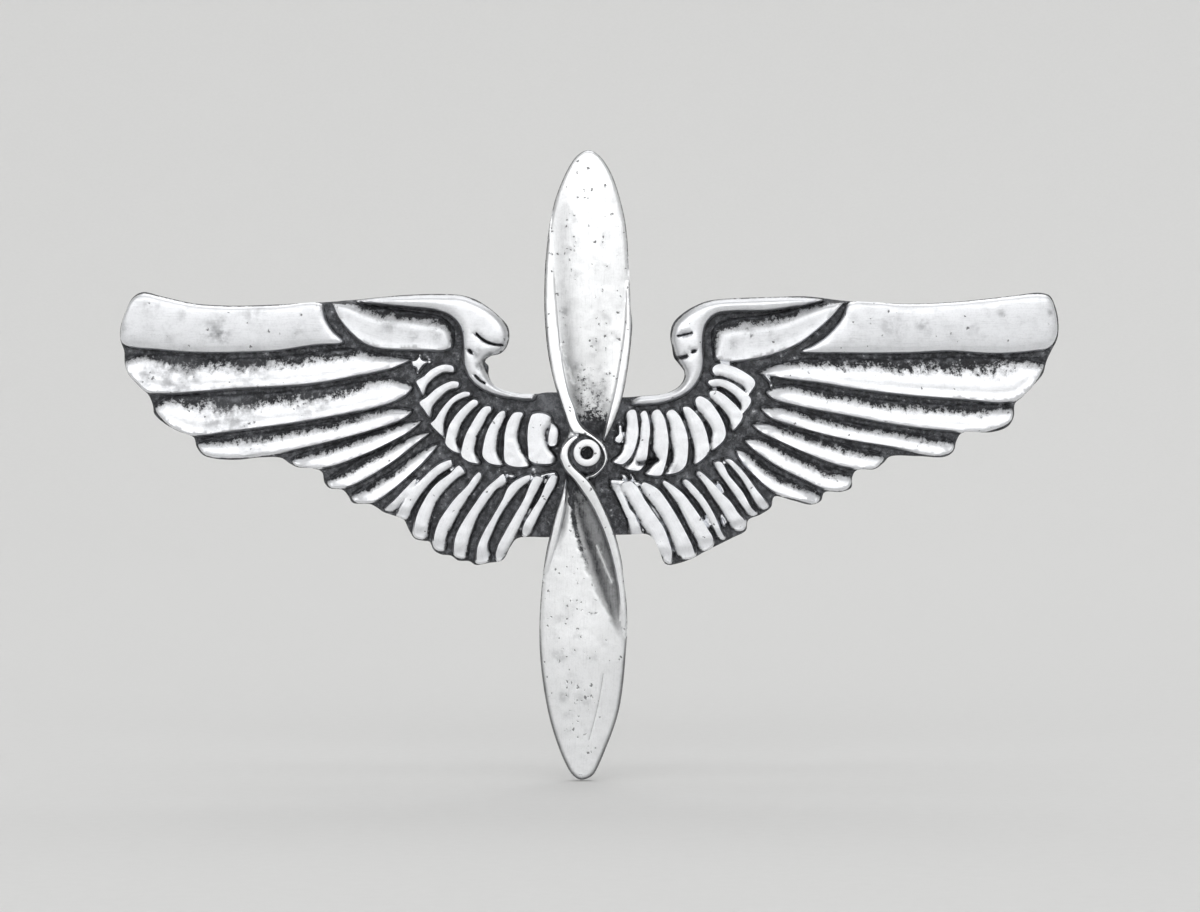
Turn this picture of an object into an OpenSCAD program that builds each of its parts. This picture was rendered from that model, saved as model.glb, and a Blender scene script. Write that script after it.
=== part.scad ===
// Winged-propeller badge on a pin back
// Front faces -Y, up is +Z. Origin: rivet axis at the plate's back face.
// All dimensions in millimetres.

/* [Wing plate] */
// Thickness of the flat web between the feathers
web_t = 1; // [0.85:0.05:1.2]
// Height of a feather's sunken side above the back face
sunk_h = 1.2; // [1.15:0.05:1.3]
// Height of a feather's crest above the back face
crest_h = 1.8; // [1.6:0.05:2]
// Height of the long leading feather
vane_h = 1.9; // [1.7:0.05:2.1]
// Height of the shoulder patch
patch_h = 2; // [1.8:0.05:2.2]
// Height of the shoulder band
band_h = 2.3; // [2.1:0.05:2.5]
// Depth of the shallow seats in the back face
seat_d = 0.15; // [0.1:0.05:0.25]

/* [Propeller] */
// Length of the upper blade from the rivet axis
blade_up = 24.6; // [23:0.1:26]
// Length of the lower blade from the rivet axis
blade_down = 26.5; // [24:0.1:27.5]
// Thickness of a blade at its middle
blade_t = 1.4; // [1.2:0.05:1.6]
// Radius of the blade's crowned face
crown_r = 13; // [11:0.5:18]
// Depth of the hollow next to the hub
hollow_d = 0.75; // [0.5:0.05:0.9]
// Radius of the hub
hub_r = 2; // [1.85:0.05:2.15]
// Height of the hub above the web
hub_t = 1.9; // [1.7:0.05:2.1]

/* [Hub rivet] */
// Radius of the rivet's ring head
ring_r = 1.1; // [1:0.02:1.14]
// Radius of the rivet's shank
shank_r = 0.85; // [0.75:0.05:0.9]
// Radius of the round recess in the ring head
recess_r = 0.48; // [0.4:0.02:0.55]
// Depth of the recess
recess_d = 1.2; // [0.8:0.1:2]
// Height of the ring head above the hub
ring_t = 0.3; // [0.2:0.05:0.4]
// Radius of the washer on the back
washer_r = 2.2; // [2:0.1:2.4]
// Thickness of the washer
washer_t = 0.45; // [0.35:0.05:0.5]

/* [Pin stem] */
// Height of the pin line above the rivet axis
pin_z = 3.8; // [3.6:0.1:4]
// Distance of the pin line behind the back face
pin_y = 2.8; // [2.7:0.05:3.2]
// Radius of the stem wire
stem_r = 0.5; // [0.45:0.01:0.52]
// Hinge position left of the rivet axis
hinge_x = 28; // [26:0.5:29]
// Catch position right of the rivet axis
catch_x = 27.5; // [26:0.5:28]
// Length of the tapered point
taper = 7.5; // [7:0.1:8]
// Turning angle of the pin in the drawing
pin_open = 0; // [0:5:90]

/* [Hinge] */
// Radius of the hinge's solder patch
hinge_patch_r = 2.6; // [2.4:0.1:2.8]
// Thickness of both solder patches
patch_t = 0.55; // [0.45:0.05:0.65]
// Radius of the hinge rivet's shaft
hinge_r = 0.45; // [0.4:0.01:0.48]
// Radial gap between the hinge rivet and the pin's eye
hinge_gap = 0.05; // [0.02:0.01:0.08]
// Thickness of each hinge ear
ear_t = 0.5; // [0.4:0.05:0.6]
// Radius of the ears' rounded ends
ear_r = 0.85; // [0.8:0.05:0.9]
// Radius of the pin's eye
eye_r = 1.1; // [1:0.05:1.15]

/* [Safety catch] */
// Radius of the catch's solder patch
catch_patch_r = 2.8; // [2.6:0.1:3]
// Outer radius of the catch case
case_r = 1.95; // [1.85:0.05:2]
// Radius of the rotor's barrel
rotor_r = 1.35; // [1.3:0.01:1.4]
// Radial gap between rotor and case
rotor_gap = 0.06; // [0.03:0.01:0.09]
// Length of the catch case
case_len = 3; // [2.6:0.1:3.2]
// Width of the rotor's slot
slot_w = 1.2; // [1.15:0.05:1.3]
// Reach of the thumb lever from the pin line
lever_r = 3.5; // [3:0.1:4]
// Turning angle of the rotor in the drawing
rotor_turn = 0; // [0:5:95]

/* [Hidden] */
$fn = 96;
eps = 0.01;
hub_at = [0.08, 0.22];

// Wing drawing coordinates, [across, up], from the middle of the plate.
left_edge = [
  [-3, 5.15], [-4.3, 5], [-5.6, 5.1], [-6.8, 5.35], [-7.6, 5.85], [-7.95, 6.6], [-7.95, 7.3],
  [-8.25, 7.65], [-7.9, 8.05], [-7, 8.3], [-6.5, 8.8], [-6.25, 9.7], [-6.4, 10.55], [-7, 11.25],
  [-7.95, 12.05], [-9, 12.7], [-10.2, 13.05], [-12, 13.15], [-15, 13.05], [-18, 12.75],
  [-21, 12.5], [-25, 12.3], [-29, 12.2], [-32, 12.4], [-34.5, 12.95], [-36.1, 13.3],
  [-36.9, 12.85], [-37.5, 11.7], [-37.9, 10.4], [-37.9, 9.4], [-37.6, 8.5], [-37.55, 7.4],
  [-37.2, 6.6], [-36.2, 5.5], [-35.6, 4.9], [-35.25, 4], [-35.15, 3.4], [-34.3, 2.6],
  [-33.2, 2], [-31.95, 1.5], [-31.7, 0.7], [-31.2, 0.05], [-30.2, -0.25], [-28.5, -0.35],
  [-26.5, -0.15], [-24.8, -0.2], [-24.2, -0.6], [-23.5, -0.95], [-22.2, -1.05], [-21.5, -1.35],
  [-21.3, -2.2], [-20.9, -2.65], [-19.8, -2.8], [-19.35, -3.3], [-19, -3.85], [-17.6, -3.95],
  [-17, -4.25], [-16.5, -4.6], [-15.6, -4.9], [-14.85, -5.2], [-14.45, -6], [-13.95, -6.75],
  [-13.2, -6.95], [-12.75, -7], [-12.4, -7.7], [-11.8, -8.05], [-11, -8.15], [-10.4, -8.55],
  [-9.5, -8.6], [-9, -8.9], [-8, -8.75], [-6.8, -8.5], [-6.15, -7.4], [-5.6, -6.75], [-3, -6.65]];
right_edge = [
  [3, -6.45], [5.2, -6.5], [5.9, -7.6], [6.5, -8.85], [7.6, -8.75], [8.8, -8.3], [9.6, -7.85],
  [10.5, -7.4], [11.9, -6.7], [13, -6.1], [13.2, -5.25], [14.2, -4.8], [15.05, -4.2],
  [15.3, -3.35], [16.8, -3.65], [18.3, -4], [19.1, -3.7], [19.4, -3], [20.8, -2.95],
  [21.6, -2.6], [21.65, -1.8], [22, -1.2], [23.5, -1.1], [24.2, -0.6], [24.7, -0.1], [27, -0.05],
  [29.2, -0.1], [29.9, 0.35], [30.15, 1.2], [30.6, 1.85], [33, 1.9], [34.3, 2.35], [34.8, 3.1],
  [34.9, 4.2], [35.5, 4.8], [36.4, 5.7], [37.2, 6.7], [37.45, 7.6], [37.9, 8.6], [38.35, 9.5],
  [38.45, 10.8], [38.2, 12.1], [37.75, 13], [37, 13.25], [35, 13.05], [32.5, 12.75], [30, 12.5],
  [27, 12.35], [24, 12.4], [21, 12.6], [18, 12.95], [15, 12.9], [12, 12.8], [10, 12.6],
  [8.9, 12.2], [7.9, 11.6], [7.1, 10.8], [6.85, 9.8], [7, 8.8], [7.15, 8], [7.6, 7.4],
  [8, 6.8], [7.9, 6.1], [7.4, 5.5], [6.4, 5.05], [4.6, 4.85], [3.1, 4.75]];

left_vane = [
  [-21.6, 12.3], [-25, 12.15], [-29, 12.05], [-32, 12.25], [-34.5, 12.8], [-36, 13.1], [-36.8, 12.7],
  [-37.4, 11.6], [-37.75, 10.3], [-37.7, 9.3], [-37.1, 8.85], [-35, 8.6], [-32, 8.35], [-28, 8.35],
  [-25, 8.5], [-22, 8.95], [-19.7, 9.2], [-20.6, 10.2], [-21.15, 11.1]];
right_vane = [
  [21.4, 12.35], [20.8, 11.2], [19.7, 9.9], [18.5, 9], [17.4, 8.45], [21, 8.3], [26, 8.3],
  [29.5, 8.45], [33, 8.25], [36.2, 8.45], [37.4, 8.7], [38, 9.3], [38.25, 10.3], [38, 12], [37.6, 12.85],
  [36.8, 13.05], [34, 12.8], [30, 12.4], [26, 12.25]];
left_shoulder = [
  [-20.9, 12.25], [-19.4, 12.1], [-17.6, 11.9], [-16, 11.4], [-13, 11.05], [-11.5, 10.6],
  [-10.8, 9.8], [-10.9, 8.75], [-13, 8.5], [-15.5, 8.65], [-17.3, 9], [-18.8, 9.8], [-20.1, 11]];
right_shoulder = [
  [20.9, 12.4], [19.4, 12.4], [17.6, 11.8], [15.5, 11.1], [13, 10.7], [11.2, 10.45], [10.4, 9.8],
  [10.35, 8.6], [10.5, 7.8], [13, 7.7], [15, 8.15], [17, 8.9], [18.7, 10.1], [20, 11.3]];
left_band = [
  [-18.6, 12.5], [-15, 12.9], [-12, 13], [-10.1, 12.9], [-9, 12.5], [-7.9, 11.9], [-7, 11.1],
  [-6.5, 10.3], [-6.4, 9.6], [-6.65, 8.8], [-7.4, 8.25], [-8.3, 7.9], [-8.4, 7.4], [-8.1, 6.6],
  [-7.6, 5.9], [-6.7, 5.4], [-5.5, 5.05], [-4.2, 4.95], [-4.2, 4.55], [-6, 4.6], [-7.4, 4.9],
  [-8.6, 5.45], [-9.5, 6.3], [-9.95, 7.5], [-10, 9], [-10.2, 10.3], [-10.9, 11.2], [-12.2, 11.75],
  [-14.5, 12]];
right_band = [
  [19.2, 12.6], [16.5, 12.8], [13, 12.7], [10.5, 12.55], [9.1, 12.1], [8, 11.4], [7.25, 10.6],
  [7, 9.6], [7.2, 8.7], [7.35, 8.1], [7.8, 7.4], [8.15, 6.7], [7.9, 5.9], [7.2, 5.3], [6, 4.95],
  [4.2, 4.7], [3.7, 4.2], [5.5, 4.15], [7.2, 4.55], [8.5, 5.3], [9.25, 6.3], [9.55, 7.6], [9.5, 9.2],
  [9.75, 10.6], [10.5, 11.4], [12, 11.65], [14.5, 11.7], [17, 12.05]];

// Long feathers: [edge towards the leading feather, edge away from it], both from root to tip.
left_long = [
  [[[-14.2, 7.9], [-16.5, 8.2], [-19.3, 8.7], [-23, 8.25], [-29, 7.85], [-36.3, 8.2], [-37.4, 7.8]],
    [[-15.5, 7.15], [-18, 6.55], [-22, 5.8], [-28, 5.4], [-35.5, 5.15], [-36.5, 5.95], [-37.2, 6.8]]],
  [[[-14.1, 5.7], [-16, 6.4], [-18, 6.1], [-22, 5.4], [-28, 4.95], [-34.5, 4.65], [-35.1, 4.1]],
    [[-14.6, 4.9], [-16, 4.2], [-20, 3.25], [-24, 2.55], [-28.5, 1.95], [-31.9, 1.65], [-34, 2.6]]],
  [[[-14.1, 3.7], [-16, 3.85], [-20, 2.9], [-24, 2.15], [-28.5, 1.55], [-31.5, 1.1]],
    [[-14.7, 3.05], [-17, 2.15], [-21, 1.05], [-25, 0.2], [-29, -0.15], [-31, 0.15]]],
  [[[-13.3, 2.9], [-15, 2.6], [-18, 1.6], [-21, 0.7], [-23.9, -0.3]],
    [[-14.3, 1.95], [-16, 1], [-18, 0.05], [-21.2, -1], [-23.6, -0.75]]],
  [[[-12.5, 2], [-14, 1.65], [-16, 0.7], [-18.5, -0.4], [-21, -2]],
    [[-13.6, 1.1], [-15.5, -0.4], [-17.5, -1.7], [-19.3, -2.55], [-20.8, -2.5]]],
  [[[-12, 1], [-13, 0.65], [-14.8, -0.5], [-16.5, -1.7], [-19, -3.2]],
    [[-12.8, -0.15], [-14.3, -1.6], [-15.7, -2.8], [-17.2, -3.75], [-18.8, -3.7]]],
  [[[-13.7, -1.85], [-14.7, -2.6], [-15.7, -3.4], [-16.8, -4.2]],
    [[-14.3, -2.8], [-15.1, -3.6], [-16, -4.35], [-16.5, -4.45]]]];
right_long = [
  [[[13.8, 6.8], [15.5, 7.45], [18, 7.85], [24, 7.85], [30, 7.95], [35.5, 7.9], [37.2, 7.7]],
    [[15.5, 6.35], [19, 5.85], [22, 5.35], [26, 4.85], [30, 4.55], [34.8, 4.45], [36.4, 5.9]]],
  [[[14.6, 5.3], [16.5, 5.75], [19, 5.4], [24, 4.55], [30, 4.1], [34.5, 3.9]],
    [[15, 4.7], [17, 4.05], [21, 3.25], [25, 2.5], [28.5, 2.05], [32.5, 2], [34.5, 2.9]]],
  [[[14.2, 3.9], [16, 3.95], [19, 3.2], [23, 2.4], [27, 1.7], [29.8, 1.1]],
    [[14.9, 3.1], [18, 2.05], [21, 1.3], [25, 0.65], [28.5, 0.05], [29.7, 0.4]]],
  [[[13.5, 2.6], [15, 2.6], [18, 1.65], [21, 0.85], [24.2, 0]],
    [[14, 2], [16, 1], [18, 0.1], [21, -0.95], [23.5, -0.95]]],
  [[[12.8, 1.4], [14.5, 1.3], [17, 0.1], [19, -0.85], [21.4, -1.6]],
    [[13.3, 0.7], [15.2, -0.7], [17.5, -1.9], [19.5, -2.75], [21.3, -2.6]]],
  [[[12.2, 0.6], [13.2, 0.2], [15, -1.2], [17, -2.2], [19, -3.2]],
    [[12.4, -0.2], [13.8, -1.8], [15.2, -2.95], [17, -3.5], [18.7, -3.8]]],
  [[[11.4, 0.1], [12.5, -1], [13.8, -2.5], [14.8, -3.8]],
    [[12.2, -1.1], [13.3, -2.8], [14.1, -4.1], [14.6, -4.3]]]];

// Short feathers: [root, middle, tip, half width at root, middle and tip].
left_short = [
  [[-11.1, -0.4], [-13.3, -2.55], [-15, -5], 0.25, 0.45, 0.4],
  [[-10.2, -0.95], [-12.3, -3.5], [-13.5, -6.7], 0.35, 0.5, 0.45],
  [[-8.75, -1.35], [-10.75, -4.3], [-12, -7.85], 0.3, 0.5, 0.45],
  [[-7, -1.7], [-9.05, -4.7], [-10.35, -8.35], 0.35, 0.5, 0.45],
  [[-5, -1.6], [-7.2, -4.6], [-8.6, -8.6], 0.3, 0.4, 0.42],
  [[-3.9, -1.8], [-5.6, -4.9], [-7, -8.35], 0.3, 0.48, 0.42],
  [[-3, -1.8], [-4.2, -4.2], [-5.1, -6.5], 0.3, 0.4, 0.35]];
right_short = [
  [[10.8, -0.45], [12.15, -2.6], [13.75, -4.85], 0.28, 0.38, 0.36],
  [[9.15, -1.2], [10.8, -3.75], [12.65, -6.2], 0.3, 0.48, 0.45],
  [[8, -1.9], [9.55, -4.2], [11.3, -6.85], 0.25, 0.32, 0.38],
  [[6.4, -2.1], [8.1, -4.75], [9.9, -7.5], 0.3, 0.52, 0.5],
  [[4.7, -2.05], [6.4, -4.7], [8.1, -8.3], 0.35, 0.52, 0.52],
  [[3.3, -2], [4.95, -4.7], [6.6, -8.6], 0.3, 0.45, 0.4],
  [[2.3, -2.2], [3.5, -4.3], [4.3, -6.35], 0.25, 0.38, 0.4]];

// Covert scales, in the same form, from lower tip to upper end.
left_scales = [
  [[-13.4, 5.2], [-12.95, 6.5], [-10.9, 7.3], 0.25, 0.4, 0.25],
  [[-13.05, 3.6], [-12.5, 4.85], [-10.5, 5.85], 0.3, 0.45, 0.25],
  [[-11.95, 1.7], [-11.75, 3.5], [-9.7, 5.15], 0.25, 0.5, 0.22],
  [[-10.65, 0.4], [-10.85, 2.4], [-9, 4.4], 0.28, 0.48, 0.22],
  [[-9.5, -0.4], [-9.45, 1.8], [-7.95, 3.85], 0.45, 0.48, 0.3],
  [[-7.75, -0.7], [-7.85, 1.4], [-6.7, 3.6], 0.5, 0.52, 0.28],
  [[-5.85, -0.8], [-6.2, 1.4], [-5.4, 3.5], 0.6, 0.55, 0.32],
  [[-4.05, -0.55], [-4.15, 1.4], [-3.85, 3.35], 0.7, 0.72, 0.5],
  [[-2.85, 0.6], [-2.85, 1.5], [-2.75, 2.5], 0.22, 0.28, 0.2]];
right_scales = [
  [[2.85, -0.5], [3.6, 1.4], [3.65, 3.55], 0.4, 0.5, 0.38],
  [[4, -1], [4.9, 1.2], [4.65, 3.6], 0.35, 0.4, 0.22],
  [[5.5, -1.4], [6.2, 1], [5.8, 3.55], 0.5, 0.52, 0.4],
  [[7.25, -1.3], [7.65, 1.1], [6.95, 3.6], 0.6, 0.58, 0.36],
  [[9.2, -0.3], [9.25, 1.8], [8.15, 3.9], 0.4, 0.52, 0.36],
  [[10.5, 0.85], [10.6, 2.8], [9.25, 4.65], 0.38, 0.56, 0.36],
  [[12, 2.4], [11.9, 3.9], [10.15, 5.2], 0.35, 0.45, 0.25],
  [[12.95, 3.8], [12.65, 5.1], [10.4, 6.2], 0.35, 0.42, 0.25],
  [[13.35, 5.6], [12.5, 6.85], [10.3, 7.2], 0.32, 0.36, 0.28]];

// One propeller blade, pointing up, as a share of its length along and millimetres across.
blade_left = [
  [-1.7, 0.075], [-1.95, 0.13], [-2.4, 0.2], [-2.9, 0.29], [-3.3, 0.38], [-3.5, 0.48], [-3.5, 0.58],
  [-3.3, 0.68], [-2.95, 0.77], [-2.35, 0.86], [-1.65, 0.93], [-0.9, 0.98], [0.05, 1]];
blade_right = [
  [1.6, 0.055], [2.1, 0.11], [2.7, 0.17], [3.15, 0.25], [3.45, 0.33], [3.6, 0.41], [3.5, 0.52],
  [3.4, 0.64], [3.15, 0.75], [2.65, 0.85], [2, 0.92], [1.2, 0.975]];
hollow_edge = [
  [1.35, 2.3], [0.35, 2.3], [-0.3, 3], [-0.85, 4], [-1.3, 5], [-1.65, 6], [-2, 7], [-2.3, 8.2],
  [-2.45, 9.6], [2.85, 9.6], [2.7, 8], [2.55, 6.5], [2.3, 5], [2, 4], [1.65, 3]];

function reverse(v) = [for (i = [len(v) - 1:-1:0]) v[i]];
function through(a, b, c, t) = (1 - t) * (1 - 2 * t) * a + 4 * t * (1 - t) * b + t * (2 * t - 1) * c;
function unit(v) = v / norm(v);
function across(v) = [-v[1], v[0]];
function mean(v) = [for (k = [0, 1]) let (s = [for (p = v) p[k]]) s * [for (i = s) 1] / len(v)];

// Outline of a short feather: its middle line, widened on both sides and closed with blunt ends.
function quill(f) = let (
  ts = [0, 0.14, 0.38, 0.62, 0.86, 1],
  fill = [0.45, 1, 1, 1, 1, 0.5],
  mid = [for (t = ts) through(f[0], f[1], f[2], t)],
  dir = [for (i = [0:5]) across(unit(mid[min(i + 1, 5)] - mid[max(i - 1, 0)]))],
  half = [for (i = [0:5]) fill[i] * through(f[3], f[4], f[5], ts[i])]
) concat([for (i = [0:5]) mid[i] + half[i] * dir[i]], reverse([for (i = [0:5]) mid[i] - half[i] * dir[i]]));

module face_forward() {
  rotate([90, 0, 0])
    children();
}

module on_drawing() {
  translate([-hub_at[0], -hub_at[1], 0])
    children();
}

// A feather whose top slopes from its sunken side up to its crest; a_to_b points at the crest side.
module sloped_feather(outline, a_to_b, width) {
  at = mean(outline);
  angle = atan2(a_to_b[1], a_to_b[0]);
  tilt = atan((crest_h - sunk_h) / width);
  middle = (crest_h + sunk_h) / 2;
  intersection() {
    translate([0, 0, web_t / 2])
      linear_extrude(crest_h)
        polygon(outline);
    translate([at[0], at[1], middle])
      rotate([0, 0, angle])
        rotate([0, -tilt, 0])
          translate([-25, -25, -10])
            cube([50, 50, 10]);
  }
}

module long_feather(f) {
  near = f[0];
  away = f[1];
  outline = concat(near, reverse(away));
  step = away[2] - near[2];
  run = unit(near[len(near) - 2] - near[1]);
  side = across(run) * sign(across(run) * step);
  sloped_feather(outline, side, max(abs(side * step), 0.6) * 1.3);
}

module short_feather(f, outward) {
  run = unit(f[2] - f[0]);
  side = across(run) * sign(across(run)[0] * outward);
  sloped_feather(quill(f), side, 2.6 * f[4]);
}

module raised(outline, h) {
  translate([0, 0, web_t / 2])
    linear_extrude(h - web_t / 2)
      polygon(outline);
}

module wing(long, short, scales, vane, shoulder, band, outward) {
  for (f = long)
    long_feather(f);
  for (f = short)
    short_feather(f, outward);
  for (f = scales)
    short_feather(f, outward);
  raised(vane, vane_h);
  raised(shoulder, patch_h);
  raised(band, band_h);
}

module wing_plate() {
  color("silver")
    face_forward()
      difference() {
        on_drawing()
          union() {
            linear_extrude(web_t)
              polygon(concat(left_edge, right_edge));
            wing(left_long, left_short, left_scales, left_vane, left_shoulder, left_band, -1);
            wing(right_long, right_short, right_scales, right_vane, right_shoulder, right_band, 1);
          }
        translate([0, 0, -1])
          cylinder(r = shank_r + 0.02, h = 4);
        for (seat = [[-hinge_x, pin_z, hinge_patch_r], [catch_x, pin_z, catch_patch_r], [0, 0, washer_r]])
          translate([seat[0], seat[1], -1])
            cylinder(r = seat[2] + 0.03, h = 1 + seat_d);
      }
}

module blade(length) {
  outline = concat(blade_left, reverse(blade_right));
  difference() {
    intersection() {
      linear_extrude(3)
        polygon([for (p = outline) [p[0], p[1] * length]]);
      translate([0, 30, blade_t - crown_r])
        rotate([90, 0, 0])
          cylinder(r = crown_r, h = 60);
    }
    intersection() {
      linear_extrude(5)
        polygon(hollow_edge);
      translate([0, 2, blade_t - hollow_d])
        rotate([atan((hollow_d + 0.05) / 8), 0, 0])
          translate([-5, -5, 0])
            cube([10, 20, 5]);
    }
  }
}

module propeller() {
  color("gainsboro")
    face_forward()
      translate([0, 0, web_t])
        difference() {
          union() {
            cylinder(r = hub_r, h = hub_t);
            blade(blade_up);
            rotate(180)
              blade(blade_down);
          }
          translate([0, 0, -1])
            cylinder(r = shank_r + 0.02, h = 5);
          translate([0, 0, hub_t - 0.5])
            difference() {
              cylinder(r = 1.5, h = 2);
              translate([0, 0, -1])
                cylinder(r = 1.18, h = 4);
            }
        }
}

module hub_rivet() {
  front = web_t + hub_t;
  top = front + ring_t;
  back = seat_d - washer_t;
  color("silver")
    face_forward()
      rotate_extrude()
        polygon([
          [0, top - recess_d], [recess_r, top - recess_d], [recess_r, top - 0.12], [recess_r + 0.12, top],
          [ring_r - 0.14, top], [ring_r, top - 0.14], [ring_r, front], [shank_r, front], [shank_r, back],
          [shank_r + 0.5, back], [shank_r + 0.5, back - 0.2], [shank_r + 0.35, back - 0.35], [0, back - 0.35]]);
}

module rivet_washer() {
  color("darkgray")
    face_forward()
      translate([0, 0, seat_d - washer_t])
        difference() {
          cylinder(r = washer_r, h = washer_t);
          translate([0, 0, -1])
            cylinder(r = shank_r + 0.02, h = 2);
        }
}

module solder_patch(at, r) {
  color("darkgray")
    translate([at, -seat_d, pin_z])
      rotate([-90, 0, 0])
        rotate_extrude()
          polygon([[0, 0], [r, 0], [r, patch_t - 0.12], [r - 0.12, patch_t], [0, patch_t]]);
}

module hinge_patch() {
  solder_patch(-hinge_x, hinge_patch_r);
}

module catch_patch() {
  solder_patch(catch_x, catch_patch_r);
}

module hinge_knuckle() {
  base = patch_t - seat_d;
  inner = stem_r + 0.05;
  color("silver")
    translate([-hinge_x, 0, pin_z])
      difference() {
        union() {
          translate([-1.1, base, -inner - ear_t])
            cube([2.2, 0.5, 2 * (inner + ear_t)]);
          for (z = [-inner - ear_t, inner])
            translate([0, 0, z]) {
              translate([0, pin_y, 0])
                cylinder(r = ear_r, h = ear_t);
              translate([-ear_r, base, 0])
                cube([2 * ear_r, pin_y - base, ear_t]);
            }
        }
        translate([0, pin_y, -3])
          cylinder(r = hinge_r + eps, h = 6);
      }
}

module hinge_rivet() {
  outer = stem_r + 0.05 + ear_t;
  color("gray")
    translate([-hinge_x, pin_y, pin_z])
      rotate_extrude()
        polygon([
          [0, -outer - 0.4], [0.55, -outer - 0.4], [0.75, -outer - 0.2], [0.75, -outer], [hinge_r, -outer],
          [hinge_r, outer], [0.75, outer], [0.75, outer + 0.2], [0.55, outer + 0.4], [0, outer + 0.4]]);
}

module pin_stem() {
  straight = hinge_x + catch_x - case_len / 2 - 1;
  color("lightgray")
    translate([-hinge_x, pin_y, pin_z])
      rotate([0, 0, pin_open])
        difference() {
          union() {
            cylinder(r = eye_r, h = 2 * stem_r, center = true);
            rotate([0, 90, 0]) {
              cylinder(r = stem_r, h = straight);
              translate([0, 0, straight])
                cylinder(r1 = stem_r, r2 = 0.12, h = taper);
              translate([0, 0, straight + taper])
                cylinder(r1 = 0.12, r2 = 0.04, h = 0.15);
            }
          }
          cylinder(r = hinge_r + hinge_gap, h = 3, center = true);
        }
}

module catch_case() {
  base = patch_t - seat_d;
  color("silver")
    translate([catch_x, 0, pin_z])
      difference() {
        union() {
          translate([0, pin_y, 0])
            rotate([0, 90, 0])
              cylinder(r = case_r, h = case_len, center = true);
          translate([-case_len / 2, base, -1.2])
            cube([case_len, 1.2, 2.4]);
        }
        translate([0, pin_y, 0])
          rotate([0, 90, 0])
            cylinder(r = rotor_r + rotor_gap, h = case_len + 2, center = true);
        translate([-5, pin_y, -0.8])
          cube([10, 5, 1.6]);
      }
}

module catch_rotor() {
  half = case_len / 2 + 0.1;
  color("gray")
    translate([catch_x, pin_y, pin_z])
      rotate([rotor_turn, 0, 0])
        difference() {
          union() {
            rotate([0, 90, 0]) {
              cylinder(r = rotor_r, h = 2 * half, center = true);
              translate([0, 0, -half - 0.35])
                cylinder(r = 1.65, h = 0.35);
              translate([0, 0, half])
                cylinder(r = 1.75, h = 0.7);
              translate([lever_r - 0.5, 0, half])
                cylinder(r = 0.5, h = 0.7);
            }
            translate([half, -0.5, -lever_r + 0.5])
              cube([0.7, 1, lever_r - 0.5]);
          }
          rotate([0, 90, 0])
            cylinder(r = slot_w / 2, h = 10, center = true);
          translate([-5, 0, -slot_w / 2])
            cube([10, 4, slot_w]);
        }
}

wing_plate();
propeller();
hub_rivet();
rivet_washer();
hinge_patch();
hinge_knuckle();
hinge_rivet();
pin_stem();
catch_patch();
catch_case();
catch_rotor();
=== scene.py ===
"""Looks of the winged-propeller badge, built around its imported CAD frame."""
import math

import bmesh
import bpy
import numpy as np
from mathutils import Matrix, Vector
from mathutils.geometry import delaunay_2d_cdt


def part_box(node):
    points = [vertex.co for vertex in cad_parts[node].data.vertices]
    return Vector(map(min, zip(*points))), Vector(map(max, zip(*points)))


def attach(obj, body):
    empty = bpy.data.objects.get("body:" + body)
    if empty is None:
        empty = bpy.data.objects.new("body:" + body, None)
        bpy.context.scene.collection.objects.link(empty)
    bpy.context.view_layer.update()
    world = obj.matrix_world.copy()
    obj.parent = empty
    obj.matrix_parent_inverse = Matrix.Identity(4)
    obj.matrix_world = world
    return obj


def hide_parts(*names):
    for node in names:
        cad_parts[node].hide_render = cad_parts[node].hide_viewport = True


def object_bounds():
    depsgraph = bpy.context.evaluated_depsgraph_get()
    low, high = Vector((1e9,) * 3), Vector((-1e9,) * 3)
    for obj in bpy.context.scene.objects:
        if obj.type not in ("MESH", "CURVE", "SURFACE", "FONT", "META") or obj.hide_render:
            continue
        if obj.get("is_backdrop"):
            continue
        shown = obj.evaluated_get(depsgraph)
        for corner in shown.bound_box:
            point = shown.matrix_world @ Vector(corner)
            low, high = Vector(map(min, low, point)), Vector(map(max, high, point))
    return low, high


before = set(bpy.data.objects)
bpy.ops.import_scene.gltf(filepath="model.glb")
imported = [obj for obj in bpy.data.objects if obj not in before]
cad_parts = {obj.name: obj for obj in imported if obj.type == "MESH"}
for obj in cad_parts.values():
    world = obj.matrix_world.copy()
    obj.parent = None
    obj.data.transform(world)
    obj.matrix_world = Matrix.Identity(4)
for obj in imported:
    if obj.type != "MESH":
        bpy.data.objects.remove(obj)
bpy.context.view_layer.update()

# The drawings and the pieces are in millimetres; the scene is in metres.
MM = 0.001
WEB = 1.0  # height of the flat web over the back face
FOOT = 0.11  # width of a raised shape's drafted wall
EDGE_LEVEL = 0.62  # share of its height at which the rounding of its edge meets the wall
RIM_ROUND = 0.12  # rounding of a struck piece's back edge
BORE = 0.87  # radius of the rivet's hole through plate and propeller
HUB = np.array([0.08, 0.22])  # rivet axis in the drawing below

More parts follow.
